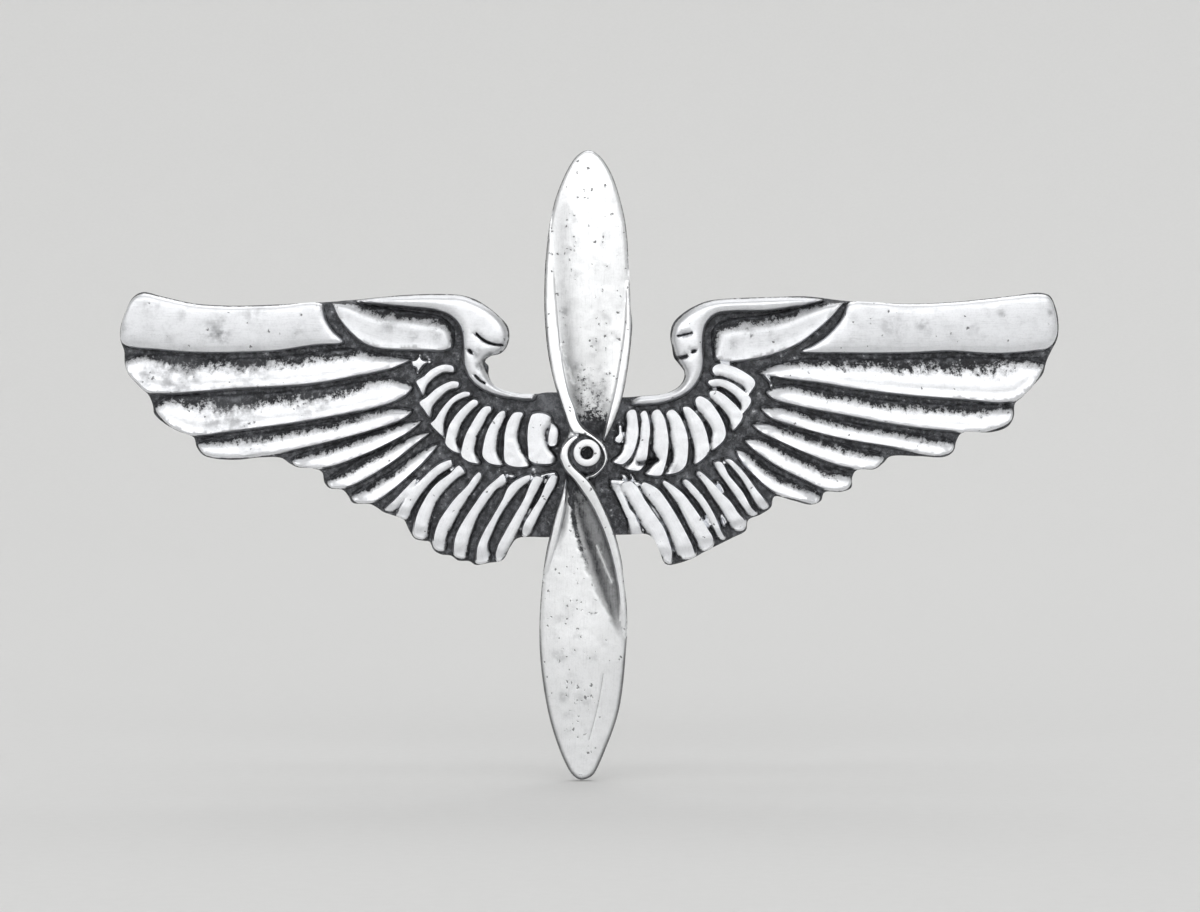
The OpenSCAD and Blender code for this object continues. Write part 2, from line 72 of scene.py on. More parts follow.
# --------------------------------------------------------------------------- drawing of the wings
# [across, up] in millimetres from the middle of the plate.
LEFT_EDGE = [
    [-3, 5.15], [-4.3, 5], [-5.6, 5.1], [-6.8, 5.35], [-7.6, 5.85], [-7.95, 6.6], [-7.95, 7.3],
    [-8.25, 7.65], [-7.9, 8.05], [-7, 8.3], [-6.5, 8.8], [-6.25, 9.7], [-6.4, 10.55], [-7, 11.25],
    [-7.95, 12.05], [-9, 12.7], [-10.2, 13.05], [-12, 13.15], [-15, 13.05], [-18, 12.75], [-21, 12.5],
    [-25, 12.3], [-29, 12.2], [-32, 12.4], [-34.5, 12.95], [-36.1, 13.3], [-36.9, 12.85], [-37.5, 11.7],
    [-37.9, 10.4], [-37.9, 9.4], [-37.6, 8.5], [-37.55, 7.4], [-37.2, 6.6], [-36.2, 5.5], [-35.6, 4.9],
    [-35.25, 4], [-35.15, 3.4], [-34.3, 2.6], [-33.2, 2], [-31.95, 1.5], [-31.7, 0.7], [-31.2, 0.05],
    [-30.2, -0.25], [-28.5, -0.35], [-26.5, -0.15], [-24.8, -0.2], [-24.2, -0.6], [-23.5, -0.95],
    [-22.2, -1.05], [-21.5, -1.35], [-21.3, -2.2], [-20.9, -2.65], [-19.8, -2.8], [-19.35, -3.3],
    [-19, -3.85], [-17.6, -3.95], [-17, -4.25], [-16.5, -4.6], [-15.6, -4.9], [-14.85, -5.2], [-14.45, -6],
    [-13.95, -6.75], [-13.2, -6.95], [-12.75, -7], [-12.4, -7.7], [-11.8, -8.05], [-11, -8.15],
    [-10.4, -8.55], [-9.5, -8.6], [-9, -8.9], [-8, -8.75], [-6.8, -8.5], [-6.15, -7.4], [-5.6, -6.75],
    [-3, -6.65]]
RIGHT_EDGE = [
    [3, -6.45], [5.2, -6.5], [5.9, -7.6], [6.5, -8.85], [7.6, -8.75], [8.8, -8.3], [9.6, -7.85],
    [10.5, -7.4], [11.9, -6.7], [13, -6.1], [13.2, -5.25], [14.2, -4.8], [15.05, -4.2], [15.3, -3.35],
    [16.8, -3.65], [18.3, -4], [19.1, -3.7], [19.4, -3], [20.8, -2.95], [21.6, -2.6], [21.65, -1.8],
    [22, -1.2], [23.5, -1.1], [24.2, -0.6], [24.7, -0.1], [27, -0.05], [29.2, -0.1], [29.9, 0.35],
    [30.15, 1.2], [30.6, 1.85], [33, 1.9], [34.3, 2.35], [34.8, 3.1], [34.9, 4.2], [35.5, 4.8], [36.4, 5.7],
    [37.2, 6.7], [37.45, 7.6], [37.9, 8.6], [38.35, 9.5], [38.45, 10.8], [38.2, 12.1], [37.75, 13],
    [37, 13.25], [35, 13.05], [32.5, 12.75], [30, 12.5], [27, 12.35], [24, 12.4], [21, 12.6], [18, 12.95],
    [15, 12.9], [12, 12.8], [10, 12.6], [8.9, 12.2], [7.9, 11.6], [7.1, 10.8], [6.85, 9.8], [7, 8.8],
    [7.15, 8], [7.6, 7.4], [8, 6.8], [7.9, 6.1], [7.4, 5.5], [6.4, 5.05], [4.6, 4.85], [3.1, 4.75]]

# The long leading feather of each wing: a closed outline.
VANES = [
    [[-21.6, 12.3], [-25, 12.15], [-29, 12.05], [-32, 12.25], [-34.5, 12.8], [-36, 13.1], [-36.8, 12.7],
     [-37.4, 11.6], [-37.75, 10.3], [-37.7, 9.3], [-37.1, 8.85], [-35, 8.6], [-32, 8.35], [-28, 8.35],
     [-25, 8.5], [-22, 8.95], [-19.7, 9.2], [-20.6, 10.2], [-21.15, 11.1]],
    [[21.4, 12.35], [20.8, 11.2], [19.7, 9.9], [18.5, 9], [17.4, 8.45], [21, 8.3], [26, 8.3], [29.5, 8.45],
     [33, 8.25], [36.2, 8.45], [37.4, 8.7], [38, 9.3], [38.25, 10.3], [38, 12], [37.6, 12.85],
     [36.8, 13.05], [34, 12.8], [30, 12.4], [26, 12.25]]]
# The shoulder patches: [side under the band, free side], both from the outer end.
SHOULDERS = [
    [[[-20.6, 12.35], [-19.4, 12.52], [-18.2, 12.3], [-17, 12.02], [-15, 11.75], [-13, 11.48],
      [-11.6, 11.1], [-10.8, 10.2], [-10.85, 8.75]],
     [[-20.6, 12.35], [-20.1, 11.2], [-19.3, 10.15], [-18.3, 9.25], [-17, 8.72], [-15.5, 8.58], [-13, 8.52],
      [-11.6, 8.5], [-10.85, 8.75]]],
    [[[20.9, 12.4], [19.4, 12.45], [17.6, 12.05], [15.5, 11.5], [13, 11.2], [11.2, 10.9], [10.35, 10.2],
      [10.3, 8.6], [10.45, 7.8]],
     [[20.9, 12.4], [20, 11.3], [18.7, 10.1], [17, 8.9], [15, 8.15], [13, 7.7], [11.5, 7.6], [10.45, 7.8]]]]
# The bands that run along the top and down the neck: closed outlines.
BANDS = [
    [[-18.6, 12.5], [-15, 12.9], [-12, 13], [-10.1, 12.9], [-9, 12.5], [-7.9, 11.9], [-7, 11.1],
     [-6.5, 10.3], [-6.4, 9.6], [-6.65, 8.8], [-7.4, 8.25], [-8.3, 7.9], [-8.4, 7.4], [-8.1, 6.6],
     [-7.6, 5.9], [-6.7, 5.4], [-5.5, 5.05], [-4.2, 4.95], [-4.2, 4.55], [-6, 4.6], [-7.4, 4.9],
     [-8.6, 5.45], [-9.5, 6.3], [-9.95, 7.5], [-10, 9], [-10.2, 10.3], [-10.9, 11.2], [-12.2, 11.75],
     [-14.5, 12]],
    [[19.2, 12.6], [16.5, 12.8], [13, 12.7], [10.5, 12.55], [9.1, 12.1], [8, 11.4], [7.25, 10.6], [7, 9.6],
     [7.2, 8.7], [7.35, 8.1], [7.8, 7.4], [8.15, 6.7], [7.9, 5.9], [7.2, 5.3], [6, 4.95], [4.2, 4.7],
     [3.7, 4.2], [5.5, 4.15], [7.2, 4.55], [8.5, 5.3], [9.25, 6.3], [9.55, 7.6], [9.5, 9.2], [9.75, 10.6],
     [10.5, 11.4], [12, 11.65], [14.5, 11.7], [17, 12.05]]]
# Long feathers: [sunken side, crest side], both from root to tip.
LONG = [
    [[[-14.2, 7.9], [-16.5, 8.2], [-19.3, 8.7], [-23, 8.25], [-29, 7.85], [-36.3, 8.2], [-37.4, 7.8]],
     [[-15.5, 7.15], [-18, 6.55], [-22, 5.8], [-28, 5.4], [-35.5, 5.15], [-36.5, 5.95], [-37.2, 6.8]]],
    [[[-14.1, 5.7], [-16, 6.4], [-18, 6.1], [-22, 5.4], [-28, 4.95], [-34.5, 4.65], [-35.1, 4.1]],
     [[-14.6, 4.9], [-16, 4.2], [-20, 3.25], [-24, 2.55], [-28.5, 1.95], [-31.9, 1.65], [-34, 2.6]]],
    [[[-14.1, 3.7], [-16, 3.85], [-20, 2.9], [-24, 2.15], [-28.5, 1.55], [-31.5, 1.1]],
     [[-14.7, 3.05], [-17, 2.15], [-21, 1.05], [-25, 0.2], [-29, -0.15], [-31, 0.15]]],
    [[[-13.3, 2.9], [-15, 2.6], [-18, 1.6], [-21, 0.7], [-23.9, -0.3]],
     [[-14.3, 1.95], [-16, 1], [-18, 0.05], [-21.2, -1], [-23.6, -0.75]]],
    [[[-12.5, 2], [-14, 1.65], [-16, 0.7], [-18.5, -0.4], [-21, -2]],
     [[-13.6, 1.1], [-15.5, -0.4], [-17.5, -1.7], [-19.3, -2.55], [-20.8, -2.5]]],
    [[[-12, 1], [-13, 0.65], [-14.8, -0.5], [-16.5, -1.7], [-19, -3.2]],
     [[-12.8, -0.15], [-14.3, -1.6], [-15.7, -2.8], [-17.2, -3.75], [-18.8, -3.7]]],
    [[[13.8, 6.8], [15.5, 7.45], [18, 7.85], [24, 7.85], [30, 7.95], [35.5, 7.9], [37.2, 7.7]],
     [[15.5, 6.35], [19, 5.85], [22, 5.35], [26, 4.85], [30, 4.55], [34.8, 4.45], [36.4, 5.9]]],
    [[[14.6, 5.3], [16.5, 5.75], [19, 5.4], [24, 4.55], [30, 4.1], [34.5, 3.9]],
     [[15, 4.7], [17, 4.05], [21, 3.25], [25, 2.5], [28.5, 2.05], [32.5, 2], [34.5, 2.9]]],
    [[[14.2, 3.9], [16, 3.95], [19, 3.2], [23, 2.4], [27, 1.7], [29.8, 1.1]],
     [[14.9, 3.1], [18, 2.05], [21, 1.3], [25, 0.65], [28.5, 0.05], [29.7, 0.4]]],
    [[[13.5, 2.6], [15, 2.6], [18, 1.65], [21, 0.85], [24.2, 0]],
     [[14, 2], [16, 1], [18, 0.1], [21, -0.95], [23.5, -0.95]]],
    [[[12.8, 1.4], [14.5, 1.3], [17, 0.1], [19, -0.85], [21.4, -1.6]],
     [[13.3, 0.7], [15.2, -0.7], [17.5, -1.9], [19.5, -2.75], [21.3, -2.6]]],
    [[[12.2, 0.6], [13.2, 0.2], [15, -1.2], [17, -2.2], [19, -3.2]],
     [[12.4, -0.2], [13.8, -1.8], [15.2, -2.95], [17, -3.5], [18.7, -3.8]]]]
# Short feathers: [sunken side, crest side], both from root to tip.
SHORT = [
    [[[-13.75, -1.85], [-14.05, -2.5], [-14.9, -3.55], [-15.6, -4.3]],
     [[-13.85, -1.8], [-14.7, -2.6], [-15.6, -3.55], [-16.35, -4.35]]],
    [[[-10.9, -0.7], [-11.8, -1.3], [-12.6, -2], [-13.25, -2.75], [-13.85, -3.6], [-14.35, -4.5],
      [-14.6, -5.1]],
     [[-10.9, -0.3], [-11.75, -0.52], [-12.45, -0.98], [-13.12, -1.6], [-13.83, -2.3], [-14.45, -3.02],
      [-14.98, -3.92], [-15.36, -4.65], [-15.3, -4.9]]],
    [[[-9.9, -1.3], [-10.5, -1.7], [-11.25, -2.4], [-11.9, -3.15], [-12.4, -4], [-12.75, -5],
      [-12.95, -5.9], [-13.15, -6.7]],
     [[-10.3, -0.72], [-11.1, -1.4], [-12, -2.05], [-12.75, -2.85], [-13.3, -3.75], [-13.72, -4.6],
      [-13.97, -5.5], [-14.03, -6.3], [-13.85, -6.6]]],
    [[[-8.5, -1.5], [-9.07, -2.44], [-9.72, -3.4], [-10.46, -4.59], [-11, -5.65], [-11.52, -6.75],
      [-11.62, -7.65]],
     [[-8.65, -1.26], [-9.1, -1.58], [-9.72, -2.42], [-10.58, -3.3], [-11.33, -4.26], [-12.03, -5.34],
      [-12.4, -6.5], [-12.42, -7.1], [-12.15, -7.6]]],
    [[[-6.55, -2.1], [-7.36, -2.66], [-8.1, -3.62], [-8.86, -4.8], [-9.39, -6.1], [-9.72, -7.2],
      [-9.9, -8.25]],
     [[-6.7, -1.4], [-7.38, -1.9], [-8.22, -2.65], [-9.08, -3.84], [-9.94, -5.12], [-10.58, -6.3],
      [-10.8, -7.26], [-10.78, -7.85], [-10.5, -8.2]]],
    [[[-4.6, -1.85], [-5.43, -2.55], [-6.29, -3.62], [-7.14, -4.9], [-7.68, -6.1], [-8.1, -7.2],
      [-7.95, -8.5]],
     [[-4.5, -1.5], [-5.65, -1.9], [-6.4, -2.55], [-6.84, -3.5], [-7.58, -4.8], [-8.44, -6.3],
      [-8.88, -7.37], [-8.97, -8.2], [-8.9, -8.7]]],
    [[[-3.55, -1.8], [-3.72, -2.15], [-4.36, -3.4], [-5, -4.6], [-5.64, -5.98], [-6.4, -7.4],
      [-6.95, -8.5]],
     [[-4.1, -1.6], [-4.53, -2.12], [-5.12, -3.5], [-5.87, -4.8], [-6.72, -6.3], [-7.26, -7.37],
      [-7.42, -8.2], [-7.15, -8.55]]],
    [[[-2.45, -1.6], [-2.55, -2.25], [-3.08, -3.2], [-3.72, -4.37], [-4.36, -5.65], [-4.88, -6.55]],
     [[-2.75, -1.5], [-3.2, -2], [-3.83, -3.4], [-4.58, -4.6], [-5.2, -5.76], [-5.22, -6.4]]],
    [[[11.35, -0.25], [12, -0.95], [12.7, -1.8], [13.3, -2.8], [13.9, -3.8], [14.35, -4.3]],
     [[11.75, -0.25], [12.4, -0.8], [13.1, -1.6], [13.9, -2.7], [14.65, -3.7], [14.75, -4.15]]],
    [[[10.5, -0.5], [10.8, -1.2], [11.5, -2.2], [12.2, -3.2], [12.9, -4.2], [13.4, -4.75]],
     [[11, -0.45], [11.7, -1.6], [12.3, -2.3], [12.9, -3.1], [13.5, -4.2], [13.9, -4.65]]],
    [[[9, -1.3], [9.6, -2.15], [10.3, -3.2], [11, -4.2], [11.6, -5.2], [12.1, -6]],
     [[9.15, -1.18], [10.3, -2.1], [11, -2.9], [11.8, -3.7], [12.4, -4.6], [12.95, -5.3], [12.75, -6]]],
    [[[7.9, -1.95], [8.4, -2.75], [9.2, -3.7], [9.9, -4.8], [10.5, -5.9], [10.95, -6.7]],
     [[8.1, -1.85], [9, -2.6], [9.8, -3.6], [10.5, -4.8], [11, -6], [11.3, -6.7]]],
    [[[6.2, -2.1], [6.7, -2.75], [7.4, -3.7], [8, -4.8], [8.6, -6], [9.1, -7], [9.45, -7.7]],
     [[6.3, -1.95], [7, -2.3], [7.9, -3], [8.7, -4], [9.4, -5], [9.95, -5.9], [10.4, -6.75], [10.2, -7.4]]],
    [[[4.45, -2.4], [5, -3.3], [5.7, -4.1], [6.4, -5.2], [6.9, -6.3], [7.4, -7.6], [7.65, -8.3]],
     [[4.6, -2.1], [5.1, -2.2], [5.95, -2.72], [6.6, -3.55], [7.25, -4.55], [7.8, -5.5], [8.27, -6.4],
      [8.72, -7.35], [8.85, -8.15]]],
    [[[2.9, -2.3], [3.5, -3.5], [4.1, -4.5], [4.6, -5.5], [5.2, -6.3], [5.7, -7.3], [6.3, -8.35]],
     [[3.55, -2], [4.2, -2.45], [4.73, -3.35], [5.3, -4.2], [5.88, -5.05], [6.42, -5.9], [6.8, -6.9],
      [7.07, -7.95], [6.85, -8.75]]],
    [[[2.1, -2.3], [2.6, -3.2], [3.1, -4.3], [3.55, -5.4], [3.7, -6.3]],
     [[2.7, -2.35], [3.2, -3.3], [3.6, -4.2], [4.02, -4.8], [4.5, -5.9], [4.62, -6.35]]]]
# Covert scales, in the same way.
SCALES = [
    [[[-10.7, 6.95], [-11.55, 6.95], [-12.2, 6.62], [-12.8, 6.1], [-13.15, 5.5], [-13.32, 5]],
     [[-10.7, 7.25], [-11.2, 7.46], [-11.9, 7.38], [-12.65, 7], [-13.25, 6.45], [-13.85, 6.05],
      [-13.6, 5.45]]],
    [[[-10.3, 5.7], [-11.15, 5.5], [-11.75, 5.05], [-12.35, 4.4], [-12.65, 3.85], [-12.82, 3.22]],
     [[-10.25, 5.98], [-10.85, 6.12], [-11.55, 5.88], [-12.35, 5.38], [-12.98, 4.8], [-13.6, 4.32],
      [-13.23, 3.7]]],
    [[[-9.35, 4.95], [-10, 4.85], [-10.75, 4.45], [-11.3, 3.75], [-11.62, 3], [-11.72, 2.15], [-11.7, 1.6]],
     [[-9.3, 5.12], [-9.8, 5.28], [-10.6, 4.98], [-11.3, 4.4], [-11.93, 3.6], [-12.34, 2.95],
      [-12.68, 2.62], [-12.2, 1.98]]],
    [[[-8.72, 4.3], [-9, 4.02], [-9.75, 3.4], [-10.32, 2.55], [-10.62, 1.6], [-10.6, 0.85], [-10.37, 0.2]],
     [[-8.75, 4.5], [-9.15, 4.62], [-9.9, 4.1], [-10.72, 3.2], [-11.22, 2.38], [-11.42, 1.58],
      [-11.48, 0.93], [-10.9, 0.34]]],
    [[[-7.65, 3.8], [-7.85, 3.55], [-8.45, 2.7], [-8.95, 1.75], [-9.12, 1.05], [-9.12, 0.1],
      [-8.82, -0.65]],
     [[-7.7, 4.03], [-8.25, 4.05], [-8.8, 3.52], [-9.35, 2.63], [-9.83, 1.75], [-10.1, 0.85],
      [-10.18, -0.05], [-9.6, -0.54]]],
    [[[-6.55, 3.6], [-6.87, 2.85], [-7.25, 1.98], [-7.42, 1.05], [-7.33, 0.05], [-6.92, -0.75]],
     [[-6.65, 3.72], [-7.05, 3.6], [-7.65, 2.87], [-8.15, 1.9], [-8.4, 0.93], [-8.47, -0.05],
      [-7.85, -0.7]]],
    [[[-5.08, 3.45], [-5.2, 3.15], [-5.55, 2.6], [-5.75, 1.75], [-5.55, 0.75], [-5.1, -0.2],
      [-4.72, -0.83]],
     [[-5.15, 3.56], [-5.85, 3.55], [-6.38, 2.87], [-6.66, 1.9], [-6.73, 0.93], [-6.62, -0.6],
      [-5.75, -1]]],
    [[[-2.95, 3.2], [-2.95, 2.65], [-3.3, 2.2], [-3.42, 1.25], [-3.15, 0.45], [-2.68, -0.2],
      [-2.85, -0.66]],
     [[-3.45, 3.5], [-4.4, 3.4], [-4.72, 2.7], [-4.84, 1.75], [-4.8, 0.6], [-4.62, -0.45], [-3.95, -0.73]]],
    [[[-2.72, 2.6], [-2.45, 2.2], [-2.45, 1.4], [-2.66, 0.75]],
     [[-2.85, 2.6], [-3, 2.2], [-3.15, 1.4], [-3, 0.72]]],
    [[[10.3, 6.68], [11.05, 6.6], [11.85, 6.32], [12.5, 6], [12.98, 5.45], [13.28, 4.98]],
     [[10.15, 6.98], [10.4, 7.38], [11.05, 7.52], [12.05, 7.27], [13, 6.78], [13.7, 6.2], [13.8, 5.75],
      [13.5, 5.25]]],
    [[[10.05, 5.8], [10.9, 5.75], [11.7, 5.35], [12.35, 4.8], [12.68, 4.1], [12.74, 3.4]],
     [[9.78, 6.03], [10.55, 6.3], [11.4, 6.18], [12.2, 5.78], [12.85, 5.28], [13.4, 4.73], [13.45, 4.3],
      [13.1, 3.72]]],
    [[[9.98, 4.95], [10.55, 4.5], [11.2, 3.85], [11.7, 3.2], [11.87, 2.7], [12, 2.1]],
     [[9.95, 5.22], [10.56, 5.36], [11.2, 5.05], [11.85, 4.5], [12.42, 3.92], [12.8, 3.27], [12.55, 2.62]]],
    [[[8.85, 4.2], [9.5, 3.5], [10.08, 2.7], [10.4, 1.75], [10.26, 1.1], [10.32, 0.5]],
     [[8.8, 4.6], [9.2, 4.9], [9.95, 4.57], [10.58, 3.84], [11.07, 3.03], [11.38, 2.22], [11.42, 1.72],
      [11.2, 1.15]]],
    [[[7.8, 3.75], [8.22, 3.15], [8.55, 2.22], [8.86, 1.1], [8.95, 0.05], [8.95, -0.65]],
     [[7.78, 3.95], [8.25, 4.05], [8.8, 3.68], [9.45, 2.87], [9.85, 1.9], [10.05, 0.93], [10.08, 0.4],
      [9.6, -0.28]]],
    [[[6.5, 3.5], [6.68, 2.87], [7, 1.75], [7.2, 0.6], [7.12, -0.52], [6.62, -1.5]],
     [[6.6, 3.68], [7.02, 3.82], [7.6, 3.35], [8.08, 2.38], [8.34, 1.42], [8.36, 0.28], [8.14, -0.85],
      [7.5, -1.42]]],
    [[[5.33, 3.5], [5.58, 2.7], [5.63, 1.7], [5.62, 0.45], [5.88, -0.2], [5.47, -1], [4.95, -1.5]],
     [[5.45, 3.7], [5.9, 3.82], [6.38, 3.2], [6.66, 2.2], [6.78, 1.1], [6.7, 0.1], [6.45, -1],
      [6.1, -1.68]]],
    [[[4.42, 3.5], [4.45, 3.2], [4.58, 2.2], [4.5, 1.1], [4.18, 0.1], [3.8, -0.7], [3.25, -1.05]],
     [[4.55, 3.68], [4.9, 3.68], [5.16, 3], [5.28, 2.05], [5.16, 0.95], [5, -0.3], [4.62, -1.05],
      [4.25, -1.32]]],
    [[[3.33, 3.55], [3.3, 2.85], [3.38, 1.75], [3.22, 0.75], [2.82, -0.1], [2.28, -0.55]],
     [[3.5, 3.75], [4.02, 3.76], [4.27, 2.87], [4.3, 1.75], [4.12, 0.75], [3.62, -0.28], [2.9, -0.8]]]]
# Small struck remnants between the feathers: closed outlines.
CHIPS = [
    [[-14.15, 7.7], [-13.8, 7.78], [-13.5, 8.2], [-13.3, 7.8], [-12.6, 7.62], [-13.15, 7.35], [-13.4, 7.05],
     [-13.72, 6.65], [-13.78, 7.1], [-14.1, 7.25]],
    [[2.62, 2.5], [2.92, 2.45], [2.95, 2], [3.07, 1.6], [3.02, 1.2], [2.72, 0.95], [2.3, 1.15], [2.35, 1.5],
     [2.6, 1.75]],
    [[1.95, -1.98], [2.7, -1.95], [3.6, -2.05], [4.4, -2.2], [4.35, -2.5], [3.4, -2.5], [2.6, -2.45],
     [2.05, -2.3]],
    [[4.95, -2.45], [5.25, -2.75], [5.5, -3.05], [5.42, -2.65], [5.1, -2.4]],
    [[-6.45, -1.55], [-6.05, -1.5], [-5.7, -1.65], [-6.1, -1.85]],
    [[-3.75, -1.62], [-3, -1.36], [-2.45, -1.36], [-2.5, -1.62], [-3.2, -1.66], [-3.7, -1.85]],
    [[10.65, -2.1], [10.9, -2.25], [11.3, -3], [11.18, -3.1], [10.85, -2.65]],
    [[9.62, -4.75], [9.85, -5], [10.2, -5.7], [10, -5.75]],
    [[10.95, -4.85], [11.2, -5.15], [11.35, -5.75], [11.12, -5.7]],
    [[2.85, -1.5], [3.2, -1.55], [3.35, -1.9], [3.05, -1.95]],
    [[3.6, -1.55], [3.8, -1.6], [3.95, -2], [3.75, -2]],
    [[14.35, 6.6], [14.75, 6.5], [15.1, 5.9], [15.05, 5.5], [14.85, 5.95]]]
# Grooves cut into the necks: [line, half width, depth].
GROOVES = [
    [[[-8.9, 9.85], [-8.15, 9.25], [-7.4, 9], [-6.75, 8.95]], 0.1, 0.36],
    [[[-9.45, 8.5], [-9.3, 8.35]], 0.13, 0.3],
    [[[-9, 6.5], [-8.6, 6.1], [-8.2, 5.85]], 0.09, 0.25],
    [[[7.45, 9.7], [8, 9.8], [8.5, 9.92]], 0.08, 0.28],
    [[[8.6, 8.4], [8.85, 8.5]], 0.12, 0.3],
    [[[7.3, 7.95], [7.75, 7.95], [8.15, 8.05]], 0.13, 0.45],
    [[[4.3, -0.62], [4.8, -0.6], [5.3, -0.5], [5.75, -0.35]], 0.15, 0.6]]
# Hairlines on the blades, in the propeller's drawing: [line, half width, depth].
# A ridge has a negative depth.
SCRATCHES = [
    [[[1.31, -17.9], [1.05, -19.6], [0.7, -21.2], [0.17, -23.2]], 0.05, 0.03],
    [[[-2.13, 8.7], [-1.85, 7.8], [-1.5, 6.9]], 0.08, -0.09],
    [[[-1.75, 7.6], [-1.4, 6.6], [-1.05, 5.6]], 0.08, -0.09],
    [[[0.8, -7.55], [1.3, -8.75], [2, -10.5]], 0.06, -0.06]]

# ----------------------------------------------------------------------- drawing of the propeller
# [across, up] in millimetres from the rivet axis.
PROP_EDGE = [
    [1.5, 1.1], [1.96, 2.1], [2.42, 3.12], [2.76, 4.14], [3.04, 5.28], [3.25, 6.5], [3.46, 8], [3.6, 9.4],
    [3.66, 10.4], [3.53, 11.8], [3.45, 14], [3.36, 15.7], [3.27, 17.3], [3.07, 18.9], [2.7, 20.5],
    [2.2, 22.1], [1.68, 23.2], [1.05, 24.05], [0.4, 24.5], [-0.1, 24.52], [-0.8, 24.1], [-1.4, 23.3],
    [-2, 22.1], [-2.6, 20.5], [-2.96, 18.9], [-3.2, 17.3], [-3.36, 15.7], [-3.44, 14], [-3.46, 11.8],
    [-3.32, 9.4], [-3.1, 7.7], [-2.76, 6.07], [-2.28, 4.4], [-1.8, 2.9], [-1.45, 1.75], [-1.75, 1.1],
    [-2.08, 0.55], [-2.22, -0.1], [-2.1, -0.85], [-1.85, -1.5], [-1.78, -2.2], [-1.9, -2.9], [-2.18, -3.9],
    [-2.52, -4.95], [-2.88, -6.2], [-3.22, -7.6], [-3.5, -9.3], [-3.72, -11.3], [-3.85, -13.5],
    [-3.85, -15.7], [-3.7, -17.7], [-3.4, -19.8], [-3, -21.7], [-2.45, -23.5], [-1.8, -25.1], [-1.2, -26.1],
    [-0.6, -26.5], [0, -26.42], [0.5, -26.1], [1.05, -25.1], [1.55, -23.9], [2.1, -22.5], [2.58, -20.9],
    [2.93, -18.7], [3.12, -16.5], [3.26, -14.2], [3.18, -12], [2.98, -10.3], [2.83, -8.9], [2.55, -7.6],
    [2.1, -6], [1.6, -4.82], [1.05, -3.7], [0.66, -2.7], [0.72, -2.1], [1.12, -1.6], [1.52, -1.08],
    [1.72, -0.5], [1.7, 0.1], [1.45, 0.62]]
# Raised ribbons: rows of [one side, other side, height over the web].
RIBBONS = [
    [[-2.75, 19.6, -2.6, 19.5, 0.86], [-3.12, 17, -2.72, 17, 1.1], [-3.36, 14, -2.6, 14, 1.24],
     [-3.36, 11.5, -2.4, 11.5, 1.3], [-3.22, 9.4, -2.22, 9.3, 1.36], [-3.02, 7.8, -2.05, 7.9, 1.42],
     [-2.7, 6.1, -1.76, 6.2, 1.5], [-2.22, 4.45, -1.42, 4.75, 1.6], [-1.76, 3.05, -1, 3.65, 1.7],
     [-1.4, 2.05, -0.72, 2.65, 1.8], [-1.08, 1.6, -0.32, 2.05, 1.86], [-0.6, 1.5, 0.1, 1.72, 1.9],
     [-0.05, 1.38, 0.45, 1.48, 1.92], [0.52, 1.06, 0.82, 1.2, 1.94], [0.98, 0.62, 1.3, 0.78, 1.95],
     [1.26, 0.12, 1.6, 0.15, 1.94], [1.38, -0.4, 1.68, -0.45, 1.92], [1.25, -0.95, 1.48, -1.06, 1.88],
     [0.85, -1.45, 1.02, -1.62, 1.84], [0.4, -1.74, 0.5, -1.98, 1.8], [0.02, -1.86, 0.06, -2, 1.72]],
    [[-0.82, 1.44, -0.66, 1.26, 1.8], [-1.36, 1.2, -1, 0.93, 1.86], [-1.84, 0.72, -1.32, 0.53, 1.92],
     [-2.1, 0.25, -1.47, 0.15, 1.95], [-2.18, -0.25, -1.47, -0.3, 1.96], [-2.05, -0.85, -1.3, -0.8, 1.94],
     [-1.7, -1.5, -0.95, -1.25, 1.92], [-1.14, -2.1, -0.4, -1.75, 1.9], [-0.68, -2.7, 0.12, -2.25, 1.86],
     [-0.12, -3.5, 0.62, -2.95, 1.8], [0.45, -4.42, 1.12, -3.95, 1.72], [1, -5.55, 1.65, -5.1, 1.64],
     [1.55, -6.95, 2.18, -6.45, 1.54], [1.97, -8.35, 2.6, -8.05, 1.46], [2.3, -9.75, 2.88, -9.5, 1.38],
     [2.54, -11.2, 3.05, -11, 1.3], [2.66, -12.7, 3.16, -12.6, 1.24], [2.86, -15, 3.16, -15, 0.98]],
    [[1.33, 1.15, 1.42, 1.06, 1.55], [1.45, 1.8, 1.78, 1.75, 1.56], [1.68, 2.75, 2.22, 2.7, 1.56],
     [1.92, 3.7, 2.58, 3.65, 1.54], [2.19, 4.75, 2.88, 4.75, 1.5], [2.42, 5.9, 3.1, 5.85, 1.46],
     [2.64, 7.2, 3.3, 7.2, 1.4], [2.9, 8.8, 3.5, 8.9, 1.32], [3.08, 10.5, 3.58, 10.4, 1.24],
     [3.15, 13, 3.44, 13, 1.1], [3.05, 16, 3.3, 16, 0.86]],
    [[-1.72, -2.15, -1.62, -2.2, 1.5], [-1.86, -2.8, -1.64, -2.8, 1.52], [-2.12, -3.8, -1.72, -3.92, 1.52],
     [-2.46, -4.82, -1.9, -4.94, 1.5], [-2.8, -6.1, -2.16, -6.1, 1.45], [-3.12, -7.55, -2.52, -7.55, 1.36],
     [-3.4, -9, -2.96, -9, 1.2], [-3.56, -10.4, -3.34, -10.4, 0.9]]]
RIBBON_BASE = WEB + 0.95  # height at which the ribbons' walls end, under the blades' surface
# Border of the dark facet on the lower blade: [up, across].
FACET_EDGE = [
    [-2.2, -1.62], [-4.2, -1.4], [-6.1, -1.1], [-7.7, -0.62], [-9.65, 0.08], [-11.4, 0.79], [-12.8, 1.49],
    [-14, 2.15], [-15.4, 2.75]]
